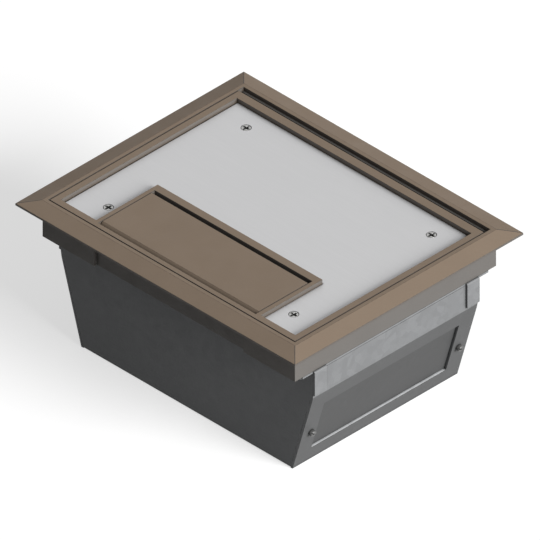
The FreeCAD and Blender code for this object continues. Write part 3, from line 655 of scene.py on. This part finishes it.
def spread_tree():
    """One copy on each vertex, turned by the vertex's own turn and a small seeded spin about its axis."""
    tree, given, output = new_tree("Spread copies", Copy="Object", Spin="Float", Seed="Int")
    turn = add_node(tree, "GeometryNodeInputNamedAttribute", {"Name": TURN}, data_type="FLOAT_VECTOR")
    facing = rotation(tree, turn.outputs["Attribute"])
    placed = copies_on(tree, given, given["Geometry"], Rotation=facing)
    back = maths(tree, "MULTIPLY", given["Spin"], -1.0)
    inputs = {2: back, 3: given["Spin"], "Seed": given["Seed"]}
    chance = add_node(tree, "FunctionNodeRandomValue", inputs, data_type="FLOAT")
    about = add_node(tree, "ShaderNodeCombineXYZ", {"Z": chance.outputs[1]})
    inputs = {"Instances": placed, "Rotation": rotation(tree, about.outputs["Vector"])}
    spun = add_node(tree, "GeometryNodeRotateInstances", inputs)
    end_tree(tree, given, output, spun.outputs["Instances"])


def row_tree():
    """A straight row of copies at one pitch."""
    sockets = {"Copy": "Object", "Count": "Int", "Start": "Vector", "Pitch": "Vector"}
    tree, given, output = new_tree("Row of copies", **sockets)
    inputs = {"Count": given["Count"], "Start Location": given["Start"], "Offset": given["Pitch"]}
    line = add_node(tree, "GeometryNodeMeshLine", inputs)
    end_tree(tree, given, output, copies_on(tree, given, line.outputs["Mesh"]))


def thread_tree():
    """A screw thread: a ridge swept along a helix."""
    sockets = {"Radius": "Float", "Pitch": "Float", "Turns": "Float", "Ridge": "Float", "Steps": "Int"}
    tree, given, output = new_tree("Screw thread", **sockets)
    helix = add_node(tree, "GeometryNodeCurveSpiral", {
        "Resolution": given["Steps"],
        "Rotations": given["Turns"],
        "Start Radius": given["Radius"],
        "End Radius": given["Radius"],
        "Height": maths(tree, "MULTIPLY", given["Turns"], given["Pitch"]),
    })
    upright = add_node(tree, "GeometryNodeSetCurveNormal", {"Curve": helix.outputs["Curve"]}, mode="Z_UP")
    ridge = add_node(tree, "GeometryNodeCurvePrimitiveCircle", {"Resolution": 4, "Radius": given["Ridge"]})
    swept = add_node(tree, "GeometryNodeCurveToMesh", {
        "Curve": upright.outputs["Curve"],
        "Profile Curve": ridge.outputs["Curve"],
        "Fill Caps": True,
    })
    inputs = {"Geometry": swept.outputs["Mesh"], "Shade Smooth": False}
    flat = add_node(tree, "GeometryNodeSetShadeSmooth", inputs)
    end_tree(tree, given, output, flat.outputs["Geometry"])


def grown(name, tree_name, base=None, **inputs):
    """Grows a piece with a geometry tree; its inputs are set by socket before it is first worked out."""
    tree = bpy.data.node_groups[tree_name]
    obj = link(name, base or bpy.data.meshes.new(name))
    modifier = obj.modifiers.new("Pattern", "NODES")
    modifier.node_group = tree
    for item in tree.interface.items_tree:
        if item.item_type == "SOCKET" and item.in_out == "INPUT" and item.name in inputs:
            modifier[item.identifier] = inputs[item.name]
    settled(obj)
    obj.data.materials.clear()
    obj.data.materials.append(inputs["Finish"])
    return obj


def spread_piece(name, copy, places, slot, node=None, body="box", finish=None, spin=0.0, seed=7):
    """A piece made of copies, one at each place with its own turn; the original is thrown away."""
    mesh = bpy.data.meshes.new(name)
    mesh.from_pydata([tuple(point) for point, turn in places], [], [])
    layer = mesh.attributes.new(TURN, "FLOAT_VECTOR", "POINT")
    layer.data.foreach_set("vector", [value for point, turn in places for value in turn])
    material = finish_of(finish or slot)
    obj = grown(name, "Spread copies", mesh, Copy=copy, Spin=spin, Seed=seed, Finish=material)
    bpy.data.objects.remove(copy)
    deliver(obj, body, node)


def thread_on(obj, radius, pitch, bottom, top, ridge):
    """Joins a helical ridge to a turned shank between two heights, all in millimetres."""
    helix = grown(
        obj.name + "_thread", "Screw thread", Radius=radius * MM, Pitch=pitch * MM,
        Turns=(top - bottom) / pitch, Ridge=ridge * MM, Steps=18, Finish=finish_of(ZINC),
    )
    added = merged(helix.data, flatten=False)
    bmesh.ops.recalc_face_normals(added, faces=added.faces)
    bmesh.ops.translate(added, verts=added.verts, vec=(0, 0, bottom * MM))
    written(added, helix.data)
    both = bmesh.new()
    both.from_mesh(obj.data)
    both.from_mesh(helix.data)
    written(both, obj.data)
    bpy.data.objects.remove(helix)
    return obj


def slotted_master(name, head_radius, head_height, shank_length, rounding):
    """A slotted M4 screw with its seat at the origin and its shank down."""
    core = sizes().m4_core / MM
    crown = head_height + 0.02
    profile = [(0, -shank_length), (core - 0.5, -shank_length), (core, 0.5 - shank_length), (core, -0.5)]
    profile += [(core + 0.3, 0), (head_radius - 0.15, 0), (head_radius, 0.15)]
    for angle in (0, 0.15 * math.pi, 0.3 * math.pi, 0.5 * math.pi):
        inward, down = 1 - math.cos(angle), 1 - math.sin(angle)
        profile.append((head_radius - rounding * inward, head_height - rounding * down))
    profile += [(head_radius * 0.4, crown), (0, crown)]
    screw = turned(name, profile, 40)
    far = 3 * head_radius
    carve(screw, block((-far, -0.5, head_height - 1.3), (far, 0.5, 3 * head_height)))
    soften(screw, 0.06)
    return thread_on(screw, core, sizes().m4_pitch / MM, 0.6 - shank_length, -0.9, 0.32)


def cross_cutter():
    """The tapered cross of a cover screw, wings wider and longer at the top."""
    size = sizes()
    reach, width, depth = size.cross_reach / MM, size.cross_width / MM, size.cross_depth / MM
    rows = []
    for arm, half, height in ((reach * 1.04, width * 0.52, 0.2), (reach * 0.45, width * 0.36, -depth)):
        quarter = [(arm, -half), (arm, half), (half * 1.25, half * 1.25)]
        row = []
        for _ in range(4):
            row += [(x, y, height) for x, y in quarter]
            quarter = [(-y, x) for x, y in quarter]
        rows.append(row)
    return skin(rows)


def cover_screw_master(name):
    """A countersunk screw, its top at the origin, a shade narrower than its countersink."""
    size = sizes()
    head = size.cover_head / MM
    profile = [(0, -10.0), (1.5, -10.0), (2.0, -9.4), (2.0, -2.7), (2.3, -2.35), (head - 0.1, -0.35)]
    profile += [(head, -0.22), (head - 0.03, -0.1), (head - 0.12, -0.03), (head * 0.6, 0), (0, 0)]
    screw = turned(name, profile, 48)
    carve(screw, cross_cutter())
    soften(screw, 0.07)
    # Painted shade: faces inside the cross recess are darkened.
    layer = screw.data.attributes.new(TONE, "FLOAT", "FACE")
    for face in screw.data.polygons:
        point = face.center
        cone = size.cover_head - 0.35 * MM + min(0, point.z + 0.35 * MM) * 0.9
        sunk = -size.cross_depth - HAIR < point.z < -0.08 * MM
        layer.data[face.index].value = tones().hollow_shade if sunk and point.xy.length < cone else 0.0
    return thread_on(screw, 2.0, 0.8, -9.3, -2.8, 0.36)


def nut_master(name, flats, height, bore):
    """A hexagon nut with both faces chamfered and its bore countersunk, its top at the origin."""
    radius = flats / math.sqrt(3)
    face = flats / 2 * 0.97
    drop = (radius - face) * math.tan(math.radians(30)) + 0.1
    nut = turned(name, [(0, -height), (radius, -height), (radius, 0), (0, 0)], 6)
    crown = [(0, -height), (face, -height), (radius + 0.2, drop - height)]
    crown += [(radius + 0.2, -drop), (face, 0), (0, 0)]
    carve(nut, lathe(crown, 48), "INTERSECT")
    hole = [(0, -height - 1), (bore + 0.6, -height - 0.2), (bore, 0.4 - height)]
    hole += [(bore, -0.4), (bore + 0.6, 0.2), (0, 1)]
    carve(nut, lathe(hole, 32))
    return soften(nut, 0.08)


def guide_master(name):
    """Two pairs of guide ribs on the sides of a plug recess, its mouth at the origin."""
    bm = bmesh.new()
    for side in (-1, 1):
        for y in (-2.6, 2.6):
            block((side * 18.0, y - 0.9, -17.45), (side * 19.45, y + 0.9, -1.2), bm)
    return soften(bare_object(bm, name), 0.25)


def shutter_master(name):
    """Dark shutters that close the two pin holes."""
    bm = bmesh.new()
    for x in (-9.5, 9.5):
        lathe([(0, -21.0), (2.5, -21.0), (2.5, -18.4), (2.2, -18.1), (0, -18.6)], 24, bm, x)
    return soften(bare_object(bm, name), 0.1)


def centre_screw_master(name):
    """A slotted screw head in the floor of a plug recess."""
    profile = [(0, 0.02), (2.9, 0.02), (3.0, 0.12), (3.0, 0.9), (2.6, 1.4), (1.6, 1.7), (0, 1.8)]
    screw = turned(name, profile, 36)
    carve(screw, block((-5, -0.45, 0.9), (5, 0.45, 4)))
    return soften(screw, 0.06)


def clip_master(name):
    """A spring strip on the wall of the recess: it bows into the recess, and its tip turns back out."""
    foot, height, wall, steps = -17.4, 15.0, 20.0, 18
    thick = sizes().clip_thick / MM
    rows = []
    for k in range(steps + 1):
        rise = k / steps
        bow = math.sin(min(rise / 0.78, 1.0) * math.pi / 2) ** 2 * 1.25
        back = max(0.0, rise - 0.78) / 0.22
        y = wall - thick - bow + back ** 2
        z = foot + height * rise
        outer = min(y + thick, wall)
        half = 2.25 - 0.35 * max(0, k - steps + 2)
        rows.append([(-half, y, z), (half, y, z), (half, outer, z), (-half, outer, z)])
    return soften(bare_object(skin(rows), name), 0.12)


def liner_master(name):
    """A thin dark shell against the walls and the floor of a port, with ribs between the contacts."""
    half_x, half_y, wall = 7.05, 6.15, 0.3
    foot, floor, mouth = -14.95, -14.4, -0.9
    sunk = floor - 0.25
    inside = half_x - wall / 2
    bm = block((-half_x, -half_y, foot), (half_x, half_y, floor))
    for side in (-1, 1):
        low = (side * (half_x - wall), 0.03 - half_y, sunk)
        block(low, (side * (half_x - 0.02), half_y - 0.03, mouth), bm)
    block((-inside, half_y - wall, sunk - 0.02), (inside, half_y - 0.04, mouth - 0.02), bm)
    pitch = sizes().contact_pitch / MM
    for k in range(-4, 5):
        block((k * pitch - 0.2, 3.4, sunk - 0.04), (k * pitch + 0.2, half_y - wall / 2, -8.0), bm)
    return bare_object(bm, name)


def contact_master(name):
    """One spring contact that rises from the back of the port towards its mouth."""
    half_width = sizes().contact_width / 2 / MM
    half_thick = 0.16
    bends = ((5.4, -14.2), (5.4, -4.2), (5.0, -3.2), (4.2, -3.4), (1.2, -9.0), (-0.2, -11.4))
    line = [Vector(bend) for bend in bends]
    rows = []
    for before, point, after in zip(line[:1] + line, line, line[1:] + line[-1:]):
        along = (after - before).normalized()
        side = Vector((-along.y, along.x)) * half_thick
        ends = ((-half_width, -1), (half_width, -1), (half_width, 1), (-half_width, 1))
        rows.append([(x, *(point + side * way)) for x, way in ends])
    return bare_object(skin(rows), name)


def outlet_shell(node, name):
    """An outlet with a soft outer rim and finely broken inner edges."""
    low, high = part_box(node)

    def inset(point):
        return min(point.x - low.x, high.x - point.x, point.y - low.y, high.y - point.y)

    def on_rim(edge):
        at_top = all(v.co.z > high.z - HAIR for v in edge.verts)
        nearer, further = sorted(inset(v.co) for v in edge.verts)
        return at_top and nearer < 0.5 * MM and further < 2.2 * MM

    size = sizes()
    rounded_piece(
        node, name, "box", "white_moulding", size.outlet_edge, folds=on_rim, fold_radius=size.outlet_round,
        fold_wear=1.0,
    )


def end_slope():
    """How far the lower part of the end panels leans, read from the right one."""
    points = [v.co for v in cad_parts["end_panel_right"].data.vertices]
    foot = max(p.x for p in points if p.z < HAIR)
    wall = max(p.x for p in points)
    crease = min(p.z for p in points if p.x > wall - HAIR)
    return math.atan2(wall - foot, crease)


class FloorBoxOperator:
    bl_options = {"REGISTER", "UNDO"}


class FLOORBOX_OT_finishes(FloorBoxOperator, bpy.types.Operator):
    """Builds the finishes and the geometry trees that the pieces use"""

    bl_idname = "floorbox.finishes"
    bl_label = "Finishes"

    def execute(self, context):
        tint = context.scene.floorbox_colours
        moulded("brown_moulding", tint.brown, tint.brown_edge, 0.55, 0.22, 1300, 0.09)
        moulded("grey_moulding", tint.grey, tint.grey_edge, 0.58, 0.18, 1300, 0.09)
        moulded("white_moulding", tint.white, tone(tint.white, 1.06), 0.3, 0.45, 2600, 0.006, 0.015)
        moulded("dark_moulding", tint.dark, tone(tint.dark, 1.8), 0.45, 0.4, 2200, 0.01)
        rolled_sheet(SHEET, tint.sheet, tint.sheet_edge, 0.1, 0.55, 0.1)
        brushed_sheet("bright_sheet", tint.bright, 0.35, 0.42)
        plated(ZINC, tint.zinc, tint.zinc_edge, 0.75, 0.34, 0.5)
        plated("dull_fastener", tint.dull_zinc, tone(tint.dull_zinc, 1.7), 0.6, 0.42, 0.5)
        plated("brass_clip", tint.brass, tone(tint.brass, 1.25), 0.85, 0.3, 0.4)
        spread_tree()
        row_tree()
        thread_tree()
        return {"FINISHED"}


class FLOORBOX_OT_trim(FloorBoxOperator, bpy.types.Operator):
    """Trim moulding with crisp mitres and softly broken edges"""

    bl_idname = "floorbox.trim"
    bl_label = "Trim"

    def execute(self, context):
        radius = sizes().moulding_round
        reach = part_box("trim_frame")[1]
        beside_lid = beside(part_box("lid_moulding"))

        def trim_edge(face):
            point = face.calc_center_median()
            from_mitre = abs((reach.x - abs(point.x)) - (reach.y - abs(point.y)))
            return tones().joint if from_mitre < radius else beside_lid(face)

        rounded_piece(
            "trim_frame", "trim_moulding", "box", "brown_moulding", radius, FOLD_ANGLE,
            own_tone=side_shade_tone, edge_tone=trim_edge,
        )
        return {"FINISHED"}


class FLOORBOX_OT_skirt(FloorBoxOperator, bpy.types.Operator):
    """Mounting frame: skirt, upstand and web in one grey moulding"""

    bl_idname = "floorbox.skirt"
    bl_label = "Mounting frame"

    def execute(self, context):
        size = sizes()
        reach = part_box("mounting_frame")[1]

        # Painted light: the short +X-facing faces where the skirt steps in are lightened as if lit.
        def step_highlight_tone(face):
            point = face.calc_center_median()
            inset = reach.x - abs(point.x) > size.step_inset
            outside = reach.y - abs(point.y) < size.step_depth
            return tones().step if inset and outside and abs(face.normal.x) > 0.9 else 0.0

        rounded_piece(
            "mounting_frame", "skirt_moulding", "box", "grey_moulding", size.moulding_round * 0.8,
            own_tone=step_highlight_tone,
        )
        return {"FINISHED"}


class FLOORBOX_OT_lid(FloorBoxOperator, bpy.types.Operator):
    """Lid moulding, cable flap, and the pins that they turn on"""

    bl_idname = "floorbox.lid"
    bl_label = "Lid and flap"

    def execute(self, context):
        radius = sizes().moulding_round
        lid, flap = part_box("lid_moulding"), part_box("cable_flap")
        rounded_piece(
            "lid_moulding", "lid_shell", "lid", "brown_moulding", radius,
            own_tone=side_shade_tone, edge_tone=beside(lid, flap),
        )
        rounded_piece(
            "cable_flap", "flap_panel", "flap", "brown_moulding", radius,
            own_tone=side_shade_tone, edge_tone=beside(flap),
        )
        rounded_piece("lid_hinge_pins", "lid_pins", "lid", ZINC, radius * 0.4)
        rounded_piece("flap_hinge_pin", "flap_pin", "lid", ZINC, radius * 0.4)
        return {"FINISHED"}


class FLOORBOX_OT_insert(FloorBoxOperator, bpy.types.Operator):
    """Bright insert plate and its four countersunk cross-recess screws"""

    bl_idname = "floorbox.insert"
    bl_label = "Insert plate and screws"

    def execute(self, context):
        # Painted shade: the countersink cones of the insert plate are darkened.
        def countersink_shade_tone(face):
            return tones().hollow_shade if 0.1 < face.normal.z < 0.95 else 0.0

        rounded_piece(
            "lid_insert_plate", "insert_sheet", "lid", "bright_sheet", sizes().sheet_round,
            own_tone=countersink_shade_tone,
        )
        node = "insert_plate_screws"
        screw = cover_screw_master("cover_screw")
        spread_piece("cover_screws", screw, seats(node, 0.2), ZINC, node, body="lid", spin=math.radians(3))
        return {"FINISHED"}


class FLOORBOX_OT_box(FloorBoxOperator, bpy.types.Operator):
    """Folded box, end panels, entry plates and hanging ring, with real fold radii"""

    bl_idname = "floorbox.box"
    bl_label = "Folded box"

    def execute(self, context):
        size = sizes()
        part = tones()
        low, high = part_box("box_tray")
        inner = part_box("support_rail_rear")[1].y
        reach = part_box("hanging_ring")[1]

        def tray_fold(edge):
            point = middle(edge)
            at_foot = point.z < low.z + HAIR and abs(point.y) > inner
            at_flange = point.z > high.z - HAIR and abs(abs(point.y) - inner) < 10 * HAIR
            return runs_along(edge, 0, 20) and (at_foot or at_flange)

        def crease(edge):
            return runs_along(edge, 1, 20) and edge.calc_face_angle() < CREASE_ANGLE

        # Painted light and shade: upward faces get a painted highlight, slanted faces painted shade and
        # upright faces a little painted light.
        def panel_light_and_shade(face):
            rise = face.normal.z
            if rise > 0.8:
                return part.ledge
            return part.slant_shade if 0.1 < abs(rise) < 0.5 else part.wall

        sheet_piece("box_tray", "folded_box", folds=tray_fold, fold_radius=size.fold_round)
        sheet_piece(
            "hanging_ring", "hanging_ring_sheet", folds=fold_at(1, 5, reach.z, reach.x),
            fold_radius=size.ring_fold_round, own_tone=even(part.ring), edge_tone=even(part.cut),
        )
        for side in ("left", "right"):
            sheet_piece(
                "end_panel_" + side, "end_sheet_" + side, 1.5, folds=crease, fold_radius=size.crease_round,
                own_tone=panel_light_and_shade, edge_tone=even(part.cut),
            )
            # The entry plates get an even painted shade.
            sheet_piece("entry_plate_" + side, "entry_sheet_" + side, own_tone=even(part.entry))
        return {"FINISHED"}


class FLOORBOX_OT_inside(FloorBoxOperator, bpy.types.Operator):
    """Rails, dividers and accessory carriers inside the box"""

    bl_idname = "floorbox.inside"
    bl_label = "Rails, dividers and carriers"

    def execute(self, context):
        pieces = []
        for side in ("front", "rear"):
            node = "support_rail_" + side
            low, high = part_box(node)
            wall = max(abs(low.y), abs(high.y))
            pieces.append((node, "rail_" + side, fold_at(0, 20, high.z, wall)))
        for side in ("left", "right"):
            node = "divider_" + side
            low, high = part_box(node)
            foot = min(abs(low.x), abs(high.x))
            pieces.append((node, "divider_sheet_" + side, fold_at(1, 20, low.z, foot)))
        for number in "123":
            node = "accessory_carrier_" + number
            low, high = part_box(node)
            pieces.append((node, "carrier_plate_" + number, fold_at(1, 100, high.z, low.x, high.x)))
        for node, name, folds in pieces:
            sheet_piece(node, name, folds=folds, fold_radius=sizes().fold_round * 0.7)
        return {"FINISHED"}


class FLOORBOX_OT_fasteners(FloorBoxOperator, bpy.types.Operator):
    """Slotted screws and hexagon nuts of the box"""

    bl_idname = "floorbox.fasteners"
    bl_label = "Screws and nuts"

    def execute(self, context):
        tilt = math.pi / 2 + end_slope()
        head, node = 3.8, "end_panel_screws"
        cheese = slotted_master("end_screw", 2.9, head, 14.0, 0.7)
        spread_piece(
            "end_screw_set", cheese, seats(node, head, tilt), ZINC, node,
            finish="dull_fastener", spin=1.3, seed=3,
        )
        head = 2.6
        for kind, shank, seed in (("frame", 12.0, 11), ("carrier", 8.0, 5)):
            node = kind + "_screws"
            pan = slotted_master(kind + "_screw", 3.8, head, shank, 1.1)
            spread_piece(kind + "_screw_set", pan, seats(node, head), ZINC, node, spin=1.5, seed=seed)
        for kind, node, lean, spin, seed in (
            ("end", "end_panel_nuts", tilt, 0.3, 2),
            ("frame", "frame_nuts", 0.0, 0.5, 9),
        ):
            nut = nut_master(kind + "_nut", 7.0, 3.2, 1.95)
            spread_piece(kind + "_nut_set", nut, seats(node, 0, lean), ZINC, node, spin=spin, seed=seed)
        return {"FINISHED"}


class FLOORBOX_OT_sockets(FloorBoxOperator, bpy.types.Operator):
    """Power sockets with shutters, guide ribs, centre screws and spring earth clips"""

    bl_idname = "floorbox.sockets"
    bl_label = "Power sockets"

    def execute(self, context):
        places = []
        for number in "123456":
            node = "power_socket_" + number
            outlet_shell(node, "socket_shell_" + number)
            places.append((top_centre(node), UNTURNED))
        recess = 17.5 * MM
        centre = [(point - UP * recess, turn) for point, turn in places]
        clips = [(point, Euler((0, 0, angle))) for point, turn in places for angle in (0, math.pi)]
        white = "white_moulding"
        spread_piece("socket_guides", guide_master("guides"), places, white)
        spread_piece("socket_shutters", shutter_master("shutters"), places, white, finish="dark_moulding")
        screw = centre_screw_master("centre_screw")
        spread_piece("socket_centre_screws", screw, centre, ZINC, spin=1.4, seed=4)
        spread_piece("earth_springs", clip_master("earth_spring"), clips, "brass_clip", "earth_clips")
        return {"FINISHED"}


class FLOORBOX_OT_outlets(FloorBoxOperator, bpy.types.Operator):
    """Data outlets with dark port liners and rows of spring contacts"""

    bl_idname = "floorbox.outlets"
    bl_label = "Data outlets"

    def execute(self, context):
        ports = []
        for number in "123":
            node = "data_outlet_" + number
            outlet_shell(node, "outlet_shell_" + number)
            for x in (-10, 10):
                ports.append((top_centre(node) + Vector((x * MM, 0, 0)), UNTURNED))
        spread_piece("port_liners", liner_master("liner"), ports, "white_moulding", finish="dark_moulding")
        wire = contact_master("contact")
        pitch = sizes().contact_pitch
        count = 8
        row = grown(
            "contact_row", "Row of copies", Copy=wire, Count=count, Start=((1 - count) / 2 * pitch, 0, 0),
            Pitch=(pitch, 0, 0), Finish=finish_of("brass_clip"),
        )
        bpy.data.objects.remove(wire)
        spread_piece("port_contacts", row, ports, "brass_clip")
        return {"FINISHED"}


class FLOORBOX_OT_earth(FloorBoxOperator, bpy.types.Operator):
    """Earth stud with its thread, washer and nut"""

    bl_idname = "floorbox.earth"
    bl_label = "Earth terminal"

    def execute(self, context):
        low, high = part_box("earth_stud")
        centre = top_centre("earth_stud")
        reach = (high.z - low.z) / MM
        profile = [(0, 0), (5.4, 0), (5.5, 0.1), (5.5, 1.1), (5.4, 1.2), (2.6, 1.2), (2.6, reach - 0.6)]
        stud = soften(turned("stud_body", profile + [(2.1, reach), (0, reach)], 40), 0.06)
        thread_on(stud, 2.62, 1.0, 1.4, reach - 0.6, 0.36)
        profile = [(0, -1.2), (5.9, -1.2), (6.0, -1.1), (6.0, -0.1), (5.9, 0), (0, 0)]
        washer = turned("washer_body", profile, 40)
        carve(washer, lathe([(0, -3), (3.05, -3), (3.05, 2), (0, 2)], 40))
        soften(washer, 0.06)
        nut = nut_master("earth_nut", 10.0, 5.0, 3.0)
        washer_top, nut_top = sorted(max(p.z for p in points) for points in parts_of("earth_nuts"))
        for name, copy, height, turn, slot, node in (
            ("earth_bolt", stud, low.z, 0.0, "brass_clip", "earth_stud"),
            ("earth_washer", washer, washer_top, 0.0, ZINC, "earth_nuts"),
            ("earth_hexagon", nut, nut_top, 0.3, ZINC, "earth_nuts"),
        ):
            place = (Vector((centre.x, centre.y, height)), Euler((0, 0, turn)))
            spread_piece(name, copy, [place], slot, node)
        return {"FINISHED"}


class FLOORBOX_OT_stage(FloorBoxOperator, bpy.types.Operator):
    """White studio: floor, sky, one soft key light from the right, and the isometric camera"""

    bl_idname = "floorbox.stage"
    bl_label = "Studio"

    def execute(self, context):
        scene = context.scene
        stage = scene.floorbox_stage
        scene.view_settings.view_transform = "Standard"
        build_world(stage)
        build_floor(stage)
        lamp = bpy.data.lights.new("key_light", "SUN")
        lamp.energy = stage.key
        lamp.angle = stage.key_spread
        lamp_obj = link("key_light", lamp)
        lamp_obj.rotation_euler = Vector(stage.key_from).to_track_quat("Z", "Y").to_euler()
        camera = bpy.data.cameras.new("isometric_camera")
        camera.type = "ORTHO"
        camera.ortho_scale = stage.view_width
        camera.clip_end = 20.0
        scene.camera = link("isometric_camera", camera)
        away = Vector((1, -1, 1)).normalized()
        scene.camera.location = Vector(stage.aim) + away * CAMERA_DISTANCE
        scene.camera.rotation_euler = away.to_track_quat("Z", "Y").to_euler()
        return {"FINISHED"}


def seen_directly(tree):
    """1 for rays from the camera, from reflections and through glass, else 0."""
    path = add_node(tree, "ShaderNodeLightPath").outputs
    first = maths(tree, "MAXIMUM", path["Is Camera Ray"], path["Is Glossy Ray"])
    return maths(tree, "MAXIMUM", first, path["Is Transmission Ray"])


def mixed(tree, factor, first, second):
    """Two shaders mixed; at 1 the second shows alone."""
    inputs = {0: factor, 1: first.outputs[0], 2: second.outputs[0]}
    return add_node(tree, "ShaderNodeMixShader", inputs)


def build_world(stage):
    """A sky that is white to the eye and lights the object more weakly."""
    world = bpy.data.worlds.new("studio")
    bpy.context.scene.world = world
    tree = emptied(world)
    lit, white = (
        add_node(tree, "ShaderNodeBackground", {"Color": WHITE, "Strength": strength})
        for strength in (stage.sky, 1.0)
    )
    chosen = mixed(tree, seen_directly(tree), lit, white)
    add_node(tree, "ShaderNodeOutputWorld", {"Surface": chosen.outputs[0]})


def build_floor(stage):
    """A wide floor: white to the eye, with a light shadow, and greyer in the light it throws back."""
    bm = bmesh.new()
    around = ((-1, -1), (1, -1), (1, 1), (-1, 1))
    bm.faces.new([bm.verts.new((x * FLOOR_HALF, y * FLOOR_HALF, -FLOOR_DROP)) for x, y in around])
    floor = bare_object(bm, "studio_floor")
    material = bpy.data.materials.new("studio_floor")
    tree = emptied(material)
    pale = add_node(tree, "ShaderNodeBsdfDiffuse", {"Color": WHITE})
    glow = add_node(tree, "ShaderNodeEmission", {"Color": WHITE, "Strength": stage.floor_glow})
    bounce = add_node(tree, "ShaderNodeBsdfDiffuse", {"Color": (*[stage.floor_bounce] * 3, 1)})
    shown = mixed(tree, 1 - stage.shadow, pale, glow)
    chosen = mixed(tree, seen_directly(tree), bounce, shown)
    add_node(tree, "ShaderNodeOutputMaterial", {"Surface": chosen.outputs[0]})
    floor.data.materials.append(material)


class FLOORBOX_PT_panel(bpy.types.Panel):
    """Sizes, colours and operators of the floor socket box"""

    bl_idname = "FLOORBOX_PT_panel"
    bl_label = "Floor Box"
    bl_space_type = "VIEW_3D"
    bl_region_type = "UI"
    bl_category = "Floor Box"

    def draw(self, context):
        scene = context.scene
        for group in (getattr(scene, name) for name in GROUPS):
            column = self.layout.column(align=True)
            for name in group.__annotations__:
                column.prop(group, name)
        column = self.layout.column(align=True)
        for operator in OPERATORS:
            column.operator(operator.bl_idname)


GROUPS = {
    "floorbox_colours": FLOORBOX_PG_colours,
    "floorbox_sizes": FLOORBOX_PG_sizes,
    "floorbox_tones": FLOORBOX_PG_tones,
    "floorbox_stage": FLOORBOX_PG_stage,
}
OPERATORS = (
    FLOORBOX_OT_stage,
    FLOORBOX_OT_finishes,
    FLOORBOX_OT_trim,
    FLOORBOX_OT_skirt,
    FLOORBOX_OT_lid,
    FLOORBOX_OT_insert,
    FLOORBOX_OT_box,
    FLOORBOX_OT_inside,
    FLOORBOX_OT_fasteners,
    FLOORBOX_OT_sockets,
    FLOORBOX_OT_outlets,
    FLOORBOX_OT_earth,
)


def register():
    for name, group in GROUPS.items():
        bpy.utils.register_class(group)
        setattr(bpy.types.Scene, name, bpy.props.PointerProperty(type=group))
    for operator in OPERATORS:
        bpy.utils.register_class(operator)
    bpy.utils.register_class(FLOORBOX_PT_panel)


def unregister():
    bpy.utils.unregister_class(FLOORBOX_PT_panel)
    for operator in reversed(OPERATORS):
        bpy.utils.unregister_class(operator)
    for name, group in GROUPS.items():
        delattr(bpy.types.Scene, name)
        bpy.utils.unregister_class(group)


def main():
    register()
    for operator in OPERATORS:
        family, action = operator.bl_idname.split(".")
        getattr(getattr(bpy.ops, family), action)()


if __name__ == "__main__":
    main()
